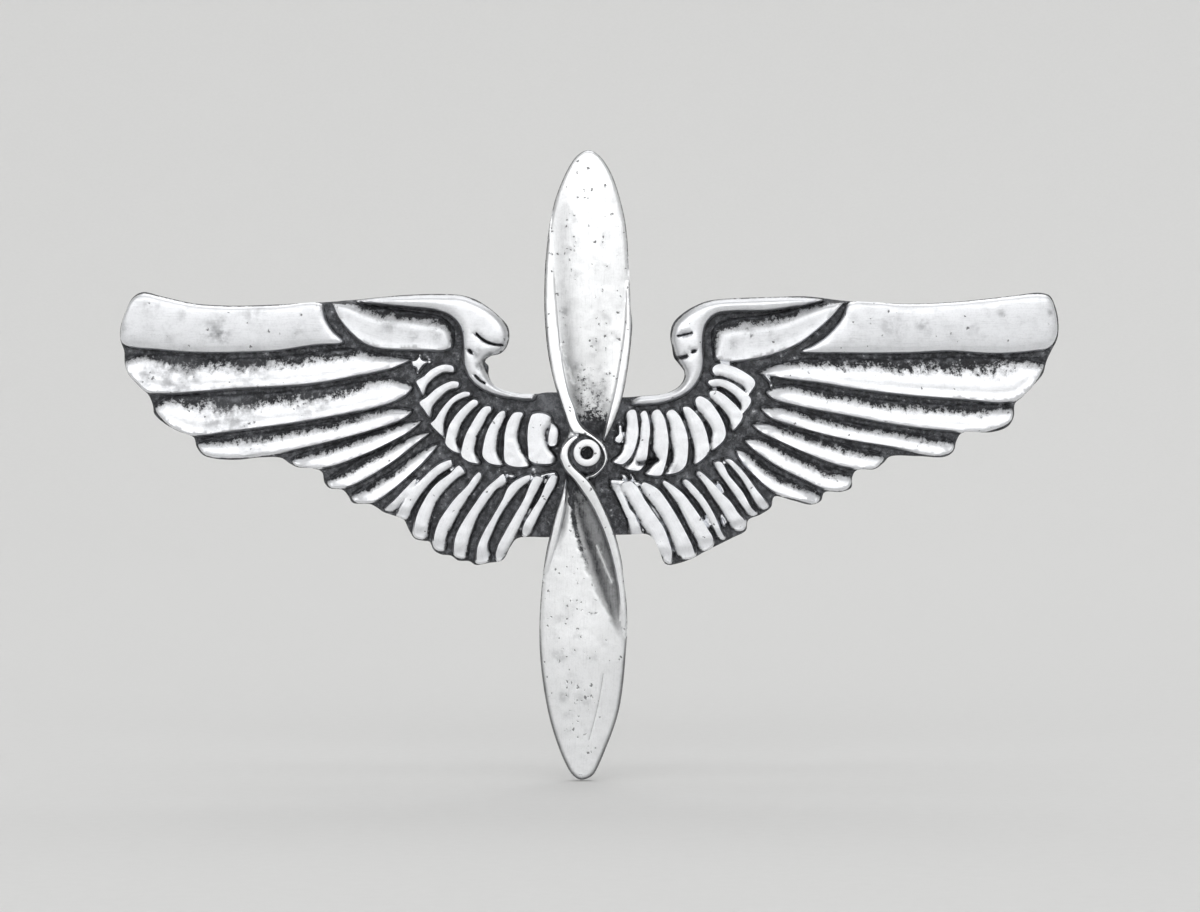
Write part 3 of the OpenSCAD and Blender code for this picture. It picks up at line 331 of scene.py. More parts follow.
# Grey blotches and pits on the blades: [across, up, radius, strength].
BLADE_STAINS = [
    [-1.85, 11.5, 0.45, 0.55], [-0.44, 20.5, 0.75, 0.35], [-1.2, 18.9, 0.55, 0.45], [0.2, 18.8, 0.5, 0.6],
    [1.3, 16.8, 0.35, 0.7], [-0.85, 14.5, 0.6, 0.55], [-0.9, 17.2, 0.5, 0.5], [1.4, 10.9, 0.75, 0.45],
    [0.6, 8.95, 0.5, 0.8], [2, 9.3, 0.6, 0.85], [-0.6, 7, 0.6, 0.85], [0.7, 8.1, 0.5, 0.7],
    [0.84, 5.4, 1, 0.85], [1.3, 6.6, 0.7, 0.6], [0.2, 5.8, 0.7, 0.6], [1, 4.2, 0.9, 0.95],
    [0.4, 4.4, 0.6, 0.7], [0.2, 22.8, 0.6, 0.3], [1.6, 17.6, 0.5, 0.45], [-1.3, 16.3, 0.5, 0.4],
    [0.5, 15.4, 0.6, 0.35], [1.7, 15.2, 0.4, 0.4], [-2.3, -16.4, 0.65, 0.85], [0.4, -16.6, 0.5, 0.8],
    [-1, -16, 0.4, 0.55], [-0.9, -14.6, 0.5, 0.6], [-1.9, -13.4, 0.7, 0.5], [-1.4, -12.3, 0.8, 0.4],
    [0.4, -13.2, 0.5, 0.5], [-1.2, -18.6, 0.8, 0.55], [-1.9, -19.7, 0.6, 0.85], [-0.3, -20, 0.9, 0.55],
    [-1.5, -21.2, 0.5, 0.5], [1.5, -15.4, 0.5, 0.5], [1.2, -20.4, 0.35, 0.3], [-1.5, -22.4, 0.3, 0.5],
    [-0.1, -22.6, 0.3, 0.4], [-1.1, -6.2, 0.5, 0.6], [-0.4, -8.5, 0.5, 0.6], [-1.4, -9, 0.7, 0.3],
    [-2.6, -15, 0.4, 0.4], [0.3, -24, 0.5, 0.2]]
# Grey smudges on the smooth parts of the wings, in the wing drawing.
WING_STAINS = [
    [-30.3, 10.1, 0.9, 0.5], [-29.6, 10.9, 0.5, 0.35], [-32.6, 11.4, 0.5, 0.3], [-35.3, 12, 0.7, 0.4],
    [-26.8, 11.4, 0.9, 0.35], [-37.3, 10.4, 0.4, 0.4], [-23.4, 10.2, 0.7, 0.25], [-16, 10.6, 0.7, 0.35],
    [-14, 9.6, 0.5, 0.3], [-12.2, 9.9, 0.5, 0.4], [-34, 9.4, 0.5, 0.2], [-6.9, 9.3, 0.4, 0.3],
    [-8.85, 8.3, 0.45, 0.9], [-8.65, 7.3, 0.4, 0.9], [-8.5, 6.3, 0.3, 0.7], [-7.9, 8.2, 0.35, 0.8],
    [-8.2, 7.6, 0.4, 1], [-3.1, 4.3, 1.1, 0.8], [-2.6, 2.9, 0.7, 0.6], [2.7, 3.7, 0.9, 0.7],
    [2.5, -2.7, 0.6, 0.4], [-3.4, -6, 0.5, 0.5], [11.7, 0.2, 0.5, 0.8], [7.2, -1.1, 0.5, 0.4],
    [8, 8.05, 0.35, 0.9], [8.5, 8.65, 0.25, 0.9], [8.1, 9.7, 0.3, 0.4], [27.3, 10.6, 0.7, 0.4],
    [27.8, 10.1, 0.4, 0.5], [25, 10.5, 1.3, 0.22], [33.6, 11.5, 0.4, 0.4], [37.7, 11.4, 0.25, 0.8],
    [31.4, 10.2, 0.8, 0.18], [13.3, 9.7, 0.6, 0.45], [15.2, 9.6, 0.45, 0.5], [11.9, 9, 0.5, 0.35],
    [-33, 6.6, 2.4, 0.5], [-27, 6.9, 2, 0.35], [-29, 3.6, 2.6, 0.5], [-22.5, 4.4, 1.8, 0.4],
    [-29.4, 9.6, 0.55, 0.8], [-27, 1.2, 1.5, 0.35], [-35.6, 6.4, 1, 0.5], [17, 10.2, 0.5, 0.2],
    [29.6, 9.3, 0.6, 0.18], [21.6, 9.3, 0.6, 0.15]]


# ------------------------------------------------------------------------------- plane geometry
def unit(v):
    """Each vector at length 1."""
    return v / np.maximum(np.linalg.norm(v, axis=-1, keepdims=True), 1e-9)


def spline(points, step, closed=False, share=False):
    """Smooth line through the points, with a vertex about every step mm.

    With share it also gives how far along the points each vertex is, from 0 to 1."""
    p = np.array(points, float)
    ends = [p[-1:], p, p[:2]] if closed else [2 * p[:1] - p[1:2], p, 2 * p[-1:] - p[-2:-1]]
    q = np.vstack(ends)
    t = np.linspace(0, 1, 14, endpoint=False)[:, None]
    out = []
    for a, b, c, d in zip(q[:-3], q[1:-2], q[2:-1], q[3:]):
        k = [max(np.linalg.norm(v) ** 0.5, 1e-6) for v in (b - a, c - b, d - c)]
        m = ((b - a) / k[0] - (c - a) / (k[0] + k[1]) + (c - b) / k[1]) * k[1]
        n = ((c - b) / k[1] - (d - b) / (k[1] + k[2]) + (d - c) / k[2]) * k[1]
        out.append((2 * t**3 - 3 * t**2 + 1) * b + (t**3 - 2 * t**2 + t) * m
                   + (3 * t**2 - 2 * t**3) * c + (t**3 - t**2) * n)
    fine = np.vstack(out + [q[-2:-1] if not closed else p[:1]])
    run = np.r_[0, np.cumsum(np.linalg.norm(np.diff(fine, axis=0), axis=1))]
    count = max(4, int(round(run[-1] / step)))
    at = np.linspace(0, run[-1], count, endpoint=not closed)
    line = np.column_stack([np.interp(at, run, fine[:, k]) for k in (0, 1)])
    if not share:
        return line
    return line, np.interp(at, run, np.linspace(0, 1, len(fine)))


def nearest(p, line, closed=False):
    """Distance of each point from the line, and its place along it from 0 to 1."""
    a = line
    b = np.roll(line, -1, 0) if closed else line[1:]
    a = a[: len(b)]
    ab = b - a
    inv = 1 / np.maximum((ab**2).sum(1), 1e-12)
    best, place = np.empty(len(p)), np.empty(len(p))
    for i in range(0, len(p), 4096):
        ap = p[i:i + 4096, None, :] - a
        t = np.clip((ap * ab).sum(2) * inv, 0, 1)
        d = ((ap - t[..., None] * ab) ** 2).sum(2)
        j = d.argmin(1)
        row = np.arange(len(j))
        best[i:i + 4096] = d[row, j] ** 0.5
        place[i:i + 4096] = (j + t[row, j]) / len(b)
    return best, place


def inside(p, outline):
    """Which points are inside a closed outline, by the crossings of a line from each."""
    a, b = outline, np.roll(outline, -1, 0)
    odd = np.zeros(len(p), bool)
    rise = np.where(np.abs(b[:, 1] - a[:, 1]) < 1e-12, 1e-12, b[:, 1] - a[:, 1])
    for i in range(0, len(p), 4096):
        x, z = p[i:i + 4096, :1], p[i:i + 4096, 1:]
        cross = ((a[:, 1] > z) != (b[:, 1] > z)) & (x < a[:, 0] + (z - a[:, 1]) * (b[:, 0] - a[:, 0]) / rise)
        odd[i:i + 4096] = cross.sum(1) % 2 == 1
    return odd


def signed(p, outline):
    """Distance from a closed outline, positive inside."""
    d, _ = nearest(p, outline, True)
    return np.where(inside(p, outline), d, -d)


def offset(outline, d):
    """The outline's points moved d mm inwards, and which of them keep clear of it elsewhere."""
    area = np.cross(outline, np.roll(outline, -1, 0)).sum()
    along = unit(np.roll(outline, -1, 0) - np.roll(outline, 1, 0))
    inward = np.column_stack([-along[:, 1], along[:, 0]]) * (1 if area > 0 else -1)
    q = outline + d * inward
    return q, signed(q, outline) * np.sign(d) > 0.9 * abs(d)


def noise(p, size, seed=0):
    """Smooth value noise from -1 to 1 with cells of that size."""
    q = np.asarray(p, float) / size
    cell = np.floor(q).astype(np.int64)
    f = q - cell
    f = f * f * (3 - 2 * f)

    def lattice(i, j):
        n = (cell[:, 0] + i) * 374761393 + (cell[:, 1] + j) * 668265263 + seed * 1274126177
        n = (n ^ (n >> 13)) * 1103515245 & 0x7FFFFFFF
        n = (n ^ (n >> 11)) * 12345 & 0x7FFFFFFF
        return (n % 65536) / 32767.5 - 1

    low = lattice(0, 0) * (1 - f[:, 0]) + lattice(1, 0) * f[:, 0]
    high = lattice(0, 1) * (1 - f[:, 0]) + lattice(1, 1) * f[:, 0]
    return low * (1 - f[:, 1]) + high * f[:, 1]


def ease(x, a=0.0, b=1.0):
    """Smooth step from 0 at a to 1 at b."""
    x = np.clip((x - a) / (b - a), 0, 1)
    return x * x * (3 - 2 * x)


def edge_share(d, soft):
    """Share of its height that a raised shape has d mm inside its outline, with a rounding soft mm wide."""
    top = EDGE_LEVEL + (1 - EDGE_LEVEL) * np.sqrt(1 - (1 - np.clip(d / soft, 0, 1)) ** 2)
    wall = EDGE_LEVEL * np.clip(1 + d / FOOT, 0, 1) ** 1.4
    return np.where(d > 0, top, wall)


# ------------------------------------------------------------------------------- raised shapes
class Shape:
    """A raised shape of a relief, on a base height.

    level(d, s, t, q) gives its full height, its wear, from 0, dark, to 1, bright, and how grey it is, from 0
    to 1, a grey film in places and painted shade on slopes and edges in others. d is the distance from the
    outline, s the place from one side to the other, t the place along them and q the point. grid is the gap
    between the mesh points inside it."""

    def __init__(self, outline, level, sides=None, soft=0.2, grid=0.4, base=WEB, more=()):
        self.outline, self.level, self.sides = outline, level, sides
        self.soft, self.grid, self.base = soft, grid, base
        self.rings = [share * soft for share in (0.15, 0.45, 0.95)] + list(more)
        self.low = outline.min(0) - 2 * FOOT
        self.high = outline.max(0) + 2 * FOOT

    def field(self, p):
        """Indices of the points on or near the shape, with height and tones there."""
        near = np.flatnonzero(((p > self.low) & (p < self.high)).all(1))
        d = signed(p[near], self.outline)
        near, d = near[d > -FOOT], d[d > -FOOT]
        q = p[near]
        if self.sides is None:
            s, t, across, along = np.full(len(q), 0.5), np.zeros(len(q)), q[:, 1], q[:, 0]
        else:
            da, ta = nearest(q, self.sides[0])
            db, tb = nearest(q, self.sides[1])
            s = da / np.maximum(da + db, 1e-6)
            t = ta * (1 - s) + tb * s
            across = da
            along = t * np.linalg.norm(np.diff(self.sides[0], axis=0), axis=1).sum()
        height, wear, film_and_shade = self.level(d, s, t, q)
        height = self.base + (height - self.base) * edge_share(d, self.soft)
        return near, height, np.column_stack([wear * ease(d, -0.05, 0.03), film_and_shade, along, across])


def feather(sides, step, level, soft, grid, grow=0.0):
    """A shape between two sides; grow widens it, away from the second one."""
    a, b = (to_hub(x) for x in sides)
    away = np.array([q - min(spline(b, 0.1), key=lambda v: np.hypot(*(v - q))) for q in a])
    a = a + grow * unit(away) * np.clip(np.linalg.norm(away, axis=1, keepdims=True) / 0.3, 0, 1)
    outline = spline(np.vstack([a, b[::-1]]), step, True)
    return Shape(outline, level, [spline(a, step), spline(b, step)], soft, grid)


def long_level(seed):
    """A long feather: it climbs from its sunken side to a bright crest."""
    def level(d, s, t, q):
        rise = np.sin(0.5 * np.pi * np.clip(s, 0, 1) ** 0.7)
        ridge = 0.07 * np.exp(-((s - 0.93) / 0.05) ** 2) - 0.04 * np.exp(-((s - 0.8) / 0.08) ** 2)
        height = 1.15 + 0.55 * rise + ridge + 0.012 * noise(q, 0.5, seed)
        patches = 0.15 * noise(q, 1.4, seed + 20) + 0.1 * noise(q, 0.5, seed + 40)
        ends = 0.4 * (1 - ease(t, 0, 0.28)) + 0.3 * ease(t, 0.84, 1)
        wear = 0.1 + 1.15 * s + (patches + ends * ease(s, 0.03, 0.15)) * (1 - s)
        # Grey: a faint film all over, and painted shade on the slope down to the sunken side.
        return height, wear, 0.06 + 0.14 * (1 - ease(s, 0.15, 0.6))
    return level


def short_level(top, fade):
    """A short feather or scale. fade is how much its tip sinks and darkens."""
    def level(d, s, t, q):
        height = 1.4 + (top - 1.4) * ease(s, -0.35, 0.25) - 0.12 * fade * ease(t, 0.85, 1)
        wear = 0.38 + 2.2 * s - 0.4 * fade * ease(t, 0.93, 1.03) * (1 - s) + 0.16 * noise(q, 0.45, 5)
        # Grey along the sunken side is painted shade where the feather meets its neighbour.
        return height + 0.01 * noise(q, 0.4, 5), wear, 0.3 * (1 - ease(s, 0.02, 0.2))
    return level


def pad_level(top, swell, width, grey=0.0):
    """A smooth flat shape, swell lower at its border."""
    def level(d, s, t, q):
        height = top - swell * np.exp(-np.clip(d, 0, None) / width) + 0.012 * noise(q, 1.7, 3)
        return height, np.full(len(d), 1.1), grey * ease(d, 0, 0.5)
    return level


def shoulder_level(d, s, t, q):
    """The smooth patch under a band, lower and darker along it, from patina and painted shade."""
    height = 1.3 + 0.6 * ease(s, -0.1, 0.4) + 0.04 * np.exp(-((s - 0.93) / 0.06) ** 2)
    wear = 0.1 + 2 * s + 0.2 * noise(q, 0.8, 14) * (1 - s)
    # Grey: a film all over, and painted shade along the band.
    return height + 0.012 * noise(q, 1.3, 4), wear, 0.16 + 0.1 * (1 - ease(s, 0.15, 0.5))


def band_level(d, s, t, q):
    """The rounded band of a wing's top edge and neck, over all the rest."""
    dome = np.sqrt(np.clip(1 - (1 - np.clip(d, 0, 0.75) / 0.75) ** 2, 0, 1))
    # Grey: a faint film, and painted shade on the border where the dome rolls off.
    film_and_shade = 0.05 + 0.22 * (1 - ease(d, 0, 0.3))
    return 1.85 + 0.4 * dome + 0.015 * noise(q, 1.1, 6), np.full(len(d), 1.1), film_and_shade


def to_hub(points):
    """Points of the wings' drawing, counted from the rivet axis."""
    return np.array(points, float) - HUB


def wing_shapes():
    """Every raised shape of the wings."""
    def pads(outlines, step, level, **options):
        return [Shape(spline(to_hub(x), step, True), level, **options) for x in outlines]

    shapes = [feather(sides, 0.2, long_level(k), 0.16, 0.28) for k, sides in enumerate(LONG)]
    shapes += [feather(sides, 0.15, short_level(1.78, 1), 0.11, 0.2, 0.2) for sides in SHORT]
    shapes += [feather(sides, 0.15, short_level(1.84, 0), 0.11, 0.2, 0.24) for sides in SCALES]
    shapes += pads(VANES, 0.2, pad_level(1.9, 0.1, 0.5, 0.17), grid=0.5)
    shapes += [feather(sides, 0.2, shoulder_level, 0.16, 0.3) for sides in SHOULDERS]
    shapes += pads(BANDS, 0.2, band_level, grid=0.3, more=(0.32, 0.47))
    shapes += pads(CHIPS, 0.1, pad_level(1.68, 0.05, 0.3), soft=0.1, grid=0.2)
    return shapes


def ribbon_shape(rows, outer):
    """A raised ribbon of the blades; outer is 0 or 1, for the side with the stronger painted shade."""
    rows = np.array(rows, float)
    a, along = spline(rows[:, :2], 0.12, share=True)
    b = spline(rows[:, 2:4], 0.12)
    outline = spline(np.vstack([rows[:, :2], rows[::-1, 2:4]]), 0.12, True)

    def level(d, s, t, q):
        place = np.interp(t, np.linspace(0, 1, len(along)), along) * (len(rows) - 1)
        height = WEB + np.interp(place, np.arange(len(rows)), rows[:, 4])
        # Painted shade along both sides, stronger on the outer one.
        film_and_shade = 0.4 * ease(np.abs(s - 1 + outer), 0.8, 1) + 0.1 * ease(np.abs(s - outer), 0.85, 1)
        return height - 0.06 * (2 * s - 1) ** 2, np.full(len(d), 1.15), film_and_shade
    return Shape(outline, level, [a, b], 0.1, 0.2, RIBBON_BASE, (0.2, 0.3))


# --------------------------------------------------------------------------------- relief mesh
class Cloud:
    """Points for a relief's triangulation, with the edges that must appear in it."""

    def __init__(self):
        self.points, self.rank, self.owner, self.links = [], [], [], []
        self.count = 0

    def add(self, points, rank, owner=-1, closed=False, chain=False):
        """Adds points, the lower the rank the more they matter; a chain's neighbours are linked."""
        first = self.count
        self.points.append(points)
        self.rank += [rank] * len(points)
        self.owner += [owner] * len(points)
        self.count += len(points)
        if chain:
            self.links += [(i, i + 1) for i in range(first, self.count - 1)]
            if closed:
                self.links.append((self.count - 1, first))


def thin(points, rank, alive, gap):
    """Drops points nearer than gap to one of a better rank; gives each point's stand-in."""
    stand = np.arange(len(points))
    cells = {}
    key = np.floor(points / gap).astype(int)
    for i in np.lexsort((np.arange(len(points)), rank)):
        if not alive[i]:
            continue
        kx, kz = key[i]
        found = -1
        for cx in (kx - 1, kx, kx + 1):
            for cz in (kz - 1, kz, kz + 1):
                for j in cells.get((cx, cz), ()):
                    if (points[i][0] - points[j][0]) ** 2 + (points[i][1] - points[j][1]) ** 2 < gap * gap:
                        found = j
        if found >= 0:
            stand[i] = found
            alive[i] = False
        else:
            cells.setdefault((kx, kz), []).append(i)
    return stand


def staggered(low, high, gap, rng):
    """A slightly uneven grid of staggered rows."""
    x = np.arange(low[0], high[0], gap)
    z = np.arange(low[1], high[1], gap * 0.87)
    p = np.array([[a + (0.5 * gap if k % 2 else 0), b] for k, b in enumerate(z) for a in x])
    return p + rng.uniform(-0.12, 0.12, p.shape) * gap


def circle(r, count, centre=(0, 0)):
    a = np.arange(count) * 2 * np.pi / count
    return np.column_stack([np.cos(a), np.sin(a)]) * r + centre


def triangulate(points, links):
    """Constrained triangulation; gives points, triangles and each input point's index."""
    verts, _, faces, orig, _, _ = delaunay_2d_cdt([Vector(p) for p in points], links, [], 0, 1e-5, True)
    index = {}
    for k, sources in enumerate(orig):
        for i in sources:
            index[i] = k
    return np.array([v[:] for v in verts], float), np.array(faces, int), index


def loops_of(faces):
    """Closed loops of the edges that only one triangle has, in the triangles' own direction."""
    edges = {}
    for f in faces:
        for k in range(3):
            edges[(f[k], f[(k + 1) % 3])] = True
    after = {a: b for a, b in edges if (b, a) not in edges}
    loops = []
    while after:
        start, nxt = next(iter(after.items()))
        loop = [start]
        while nxt != start:
            loop.append(nxt)
            nxt = after.pop(nxt)
        after.pop(start, None)
        loops.append(loop)
    return loops


def cut(faces, points, outline):
    """The triangles inside the outline and outside the rivet's hole."""
    middle = points[faces].mean(1)
    keep = inside(middle, outline) & (np.hypot(*middle.T) > BORE * 0.999)
    a, b, c = (points[faces[:, k]] for k in range(3))
    return faces[keep & (np.abs(np.cross(b - a, c - a)) > 1e-7)]


def counter_clockwise(faces, points):
    """The triangles, all turned over if they run clockwise."""
    a, b, c = (points[faces[:, k]] for k in range(3))
    return faces[:, ::-1] if np.cross(b - a, c - a).sum() < 0 else faces


def front_mesh(outline, shapes, ground, grooves, gap, rng):
    """Points and triangles of a relief's front, dense along the shapes' edges and the grooves."""
    cloud = Cloud()
    cloud.add(outline, 0, -2, True, True)
    bore = circle(BORE, 56)
    cloud.add(bore, 0, -2, True, True)
    for k, shape in enumerate(shapes):
        cloud.add(shape.outline, 1, k, True, True)
        foot, ok = offset(shape.outline, -FOOT)
        for i in np.flatnonzero(ok):
            cloud.add(foot[i:i + 1], 2, -1)
            if i + 1 < len(ok) and ok[i + 1]:
                cloud.links.append((cloud.count - 1, cloud.count))
        for d in shape.rings:
            ring, ok = offset(shape.outline, d)
            cloud.add(ring[ok], 3, k)
        p = staggered(shape.low, shape.high, shape.grid, rng)
        if len(p):
            cloud.add(p[signed(p, shape.outline) > shape.rings[-1] + 0.3 * shape.grid], 5, k)
    for d in (0.05, 0.12, 0.22, 0.36):
        ring, ok = offset(outline, d)
        cloud.add(ring[ok], 4)
    for line, width, _ in grooves:
        line = spline(line, 0.09)
        side = unit(np.gradient(line, axis=0))[:, ::-1] * [-1, 1]
        for d in (0, 0.45, -0.45, 0.9, -0.9, 1.5, -1.5):
            cloud.add(line + side * d * width, 3, -3)
    p = staggered(outline.min(0), outline.max(0), gap, rng)
    cloud.add(p[signed(p, outline) > 0.3], 6)

    points = np.vstack(cloud.points)
    rank, owner = np.array(cloud.rank), np.array(cloud.owner)
    edge = signed(points, outline)
    alive = (rank == 0) | ((edge > 0.035) & (np.hypot(*points.T) > BORE + 0.05))
    top = np.full(len(points), WEB)
    own = np.full(len(points), WEB)
    near_shape = np.zeros(len(points), bool)
    for k, shape in enumerate(shapes):
        at, height, _ = shape.field(points)
        own[at] = np.where(owner[at] == k, height, own[at])
        top[at] = np.maximum(top[at], height)
        near_shape[at] = True
    base = ground(points, edge)[0]
    own, top = np.maximum(own, base), np.maximum(top, base)
    alive &= (rank == 0) | (owner == -3) | (top < own + 0.03)
    alive &= (rank < 6) | ~near_shape
    stand = thin(points, rank, alive, 0.05)
    order = np.full(len(points), -1)
    order[alive] = np.arange(alive.sum())
    links = set()
    for a, b in cloud.links:
        a, b = order[stand[a]], order[stand[b]]
        if a >= 0 and b >= 0 and a != b and (b, a) not in links:
            links.add((a, b))
    flat, faces, _ = triangulate(points[alive], sorted(links))
    faces = cut(counter_clockwise(faces, flat), flat, outline)
    used = np.unique(faces)
    renumber = np.full(len(flat), -1)
    renumber[used] = np.arange(len(used))
    return flat[used], renumber[faces]


def front_levels(flat, outline, shapes, ground, grooves):
    """Height and tones of a relief's front at each point."""
    edge = signed(flat, outline)
    height, tones = ground(flat, edge)
    for shape in shapes:
        at, h, tone = shape.field(flat)
        over = h > height[at] - 1e-9
        at = at[over]
        height[at], tones[at] = h[over], tone[over]
    for line, width, depth in grooves:
        dip = np.exp(-(nearest(flat, spline(line, 0.09))[0] / width) ** 2)
        height -= depth * dip
        tones[:, 0] -= 1.3 * dip * ease(depth, 0.05, 0.25)
        # Painted shade greys each groove; a ridge clears the grey along it as a painted highlight.
        tones[:, 1] = np.clip(tones[:, 1] + dip * np.clip(14 * depth, -1, 0.5), 0, 1)
    return height, tones


def relief(name, outline, shapes, ground, grooves, gap, back, lowest, seats, seed):
    """A struck piece: a front relief over an outline, drafted walls, a rounded rim and a flat back.

    back is the height of the back face, lowest the least height of the front, and seats are the parts
    of the back that other pieces lie on: x, z, radius and depth."""
    rng = np.random.default_rng(seed)
    flat, faces = front_mesh(outline, shapes, ground, grooves, gap, rng)
    height, tones = front_levels(flat, outline, shapes, ground, grooves)
    height = np.maximum(height, lowest)

    # Rim: the front's border runs straight back to a rounded edge.
    verts = [np.column_stack([flat[:, 0], -height, flat[:, 1]])]
    tones = [tones]
    polys = [tuple(f) for f in faces]
    total = len(flat)
    borders, border_rows = loops_of(faces), []
    for loop in borders:
        loop = np.array(loop)
        rows = [loop]
        for share in (0.35, 0.7, 1.0):
            y = -height[loop] * (1 - share) - (back + RIM_ROUND) * share
            verts.append(np.column_stack([flat[loop, 0], y, flat[loop, 1]]))
            tones.append(np.column_stack([np.full(len(loop), 0.95), np.full(len(loop), 0.34), flat[loop]]))
            rows.append(np.arange(total, total + len(loop)))
            total += len(loop)
        for upper, lower in zip(rows, rows[1:]):
            for k in range(len(loop)):
                n = (k + 1) % len(loop)
                polys.append((upper[k], lower[k], lower[n], upper[n]))
        border_rows.append(rows[-1])

    # Back: flat, with a rounded edge and the seats.
    cloud = Cloud()
    for loop in borders:
        cloud.add(flat[loop], 0, 0, True, True)
    for d in (0.04, RIM_ROUND):
        ring, ok = offset(outline, d)
        cloud.add(ring[ok], 1)
    for x, z, r, _ in seats:
        for q in (r, r + 0.05, r - 0.06):
            cloud.add(circle(q, 72, (x, z)), 1, 0, True, True)
    p = staggered(outline.min(0), outline.max(0), 1.1, rng)
    cloud.add(p[signed(p, outline) > 0.4], 2)
    points, rank = np.vstack(cloud.points), np.array(cloud.rank)
    alive = (rank == 0) | ((signed(points, outline) > 0.02) & (np.hypot(*points.T) > BORE + 0.05))
    stand = thin(points, rank, alive, 0.03)
    order = np.full(len(points), -1)
    order[alive] = np.arange(alive.sum())
    links = {(order[stand[a]], order[stand[b]]) for a, b in cloud.links}
    links = sorted((a, b) for a, b in links if a >= 0 and b >= 0 and a != b)
    rear, faces, index = triangulate(points[alive], links)
    faces = counter_clockwise(cut(faces, rear, outline), rear)
    place = np.full(len(rear), -1)
    start = 0
    for row in border_rows:
        for k, vertex in enumerate(row):
            place[index[order[start + k]]] = vertex
        start += len(row)
    edge = np.clip(signed(rear, outline) / RIM_ROUND, 0, 1)
    depth = back + RIM_ROUND * (1 - np.sqrt(1 - (1 - edge) ** 2))
    for x, z, r, d in seats:
        far = np.hypot(rear[:, 0] - x, rear[:, 1] - z)
        depth = np.maximum(depth, back + d * (1 - ease(far, r, r + 0.05)))
    new = np.flatnonzero((place < 0) & np.isin(np.arange(len(rear)), faces))
    place[new] = total + np.arange(len(new))
    verts.append(np.column_stack([rear[new, 0], -depth[new], rear[new, 1]]))
    cloud = noise(rear[new], 3.1, 51)
    tones.append(np.column_stack([0.72 + 0.2 * cloud, 0.26 + 0.14 * noise(rear[new], 5, 52), rear[new]]))
    polys += [tuple(place[f[::-1]]) for f in faces]
    return make_piece(name, np.vstack(verts), polys, np.vstack(tones), 42)


def make_piece(name, verts, polys, tones=None, sharp=35):
    """A mesh object from points in millimetres, with wear, greyness (grey film and painted shade), place
    along and place across for each.
    """
    mesh = bpy.data.meshes.new(name)
    verts = np.asarray(verts, float)
    mesh.from_pydata((verts * MM).tolist(), [], [[int(i) for i in f] for f in polys])
    mesh.validate()
    count = len(mesh.vertices)
    if tones is None:
        tones = np.column_stack([np.ones(count), np.zeros(count), verts[:, [0, 2]]])
    for k, label in enumerate(("wear", "film_and_shade")):
        layer = mesh.attributes.new(label, "FLOAT", "POINT")
        layer.data.foreach_set("value", tones[:, k].astype(np.float32))
    grain = mesh.attributes.new("grain", "FLOAT_VECTOR", "POINT")
    places = np.column_stack([tones[:, 2:], np.zeros(count)])
    grain.data.foreach_set("vector", places.astype(np.float32).ravel())
    mesh.shade_smooth()
    mesh.set_sharp_from_angle(angle=math.radians(sharp))
    obj = bpy.data.objects.new(name, mesh)
    bpy.context.scene.collection.objects.link(obj)
    return obj


def stain(obj, spots, shift=(0, 0)):
    """Stores how stained each point is, from round blotches [across, up, radius, strength]."""
    co = np.zeros(len(obj.data.vertices) * 3)
    obj.data.vertices.foreach_get("co", co)
    p = co.reshape(-1, 3)[:, [0, 2]] / MM + shift
    amount = np.zeros(len(p))
    for x, z, r, strength in spots:
        d = np.hypot(p[:, 0] - x, p[:, 1] - z) / r
        amount = np.maximum(amount, strength * (1 - ease(d, 0.35, 1.25)))
    layer = obj.data.attributes.new("stain", "FLOAT", "POINT")
    layer.data.foreach_set("value", amount.astype(np.float32))


# ------------------------------------------------------------------------------------ wing plate
def web_ground(p, edge):
    """Height and tones of the plate's flat web, with a rounded border."""
    drop = 0.22 * (1 - np.sqrt(1 - (1 - np.clip(edge / 0.2, 0, 1)) ** 2))
    height = WEB - drop + 0.03 * noise(p, 0.33, 1) + 0.02 * noise(p, 0.13, 2)
    wear = 0.13 + 0.05 * noise(p, 0.8, 8) + 0.04 * noise(p, 0.4, 12)
    return height, np.column_stack([wear, np.zeros(len(p)), p])


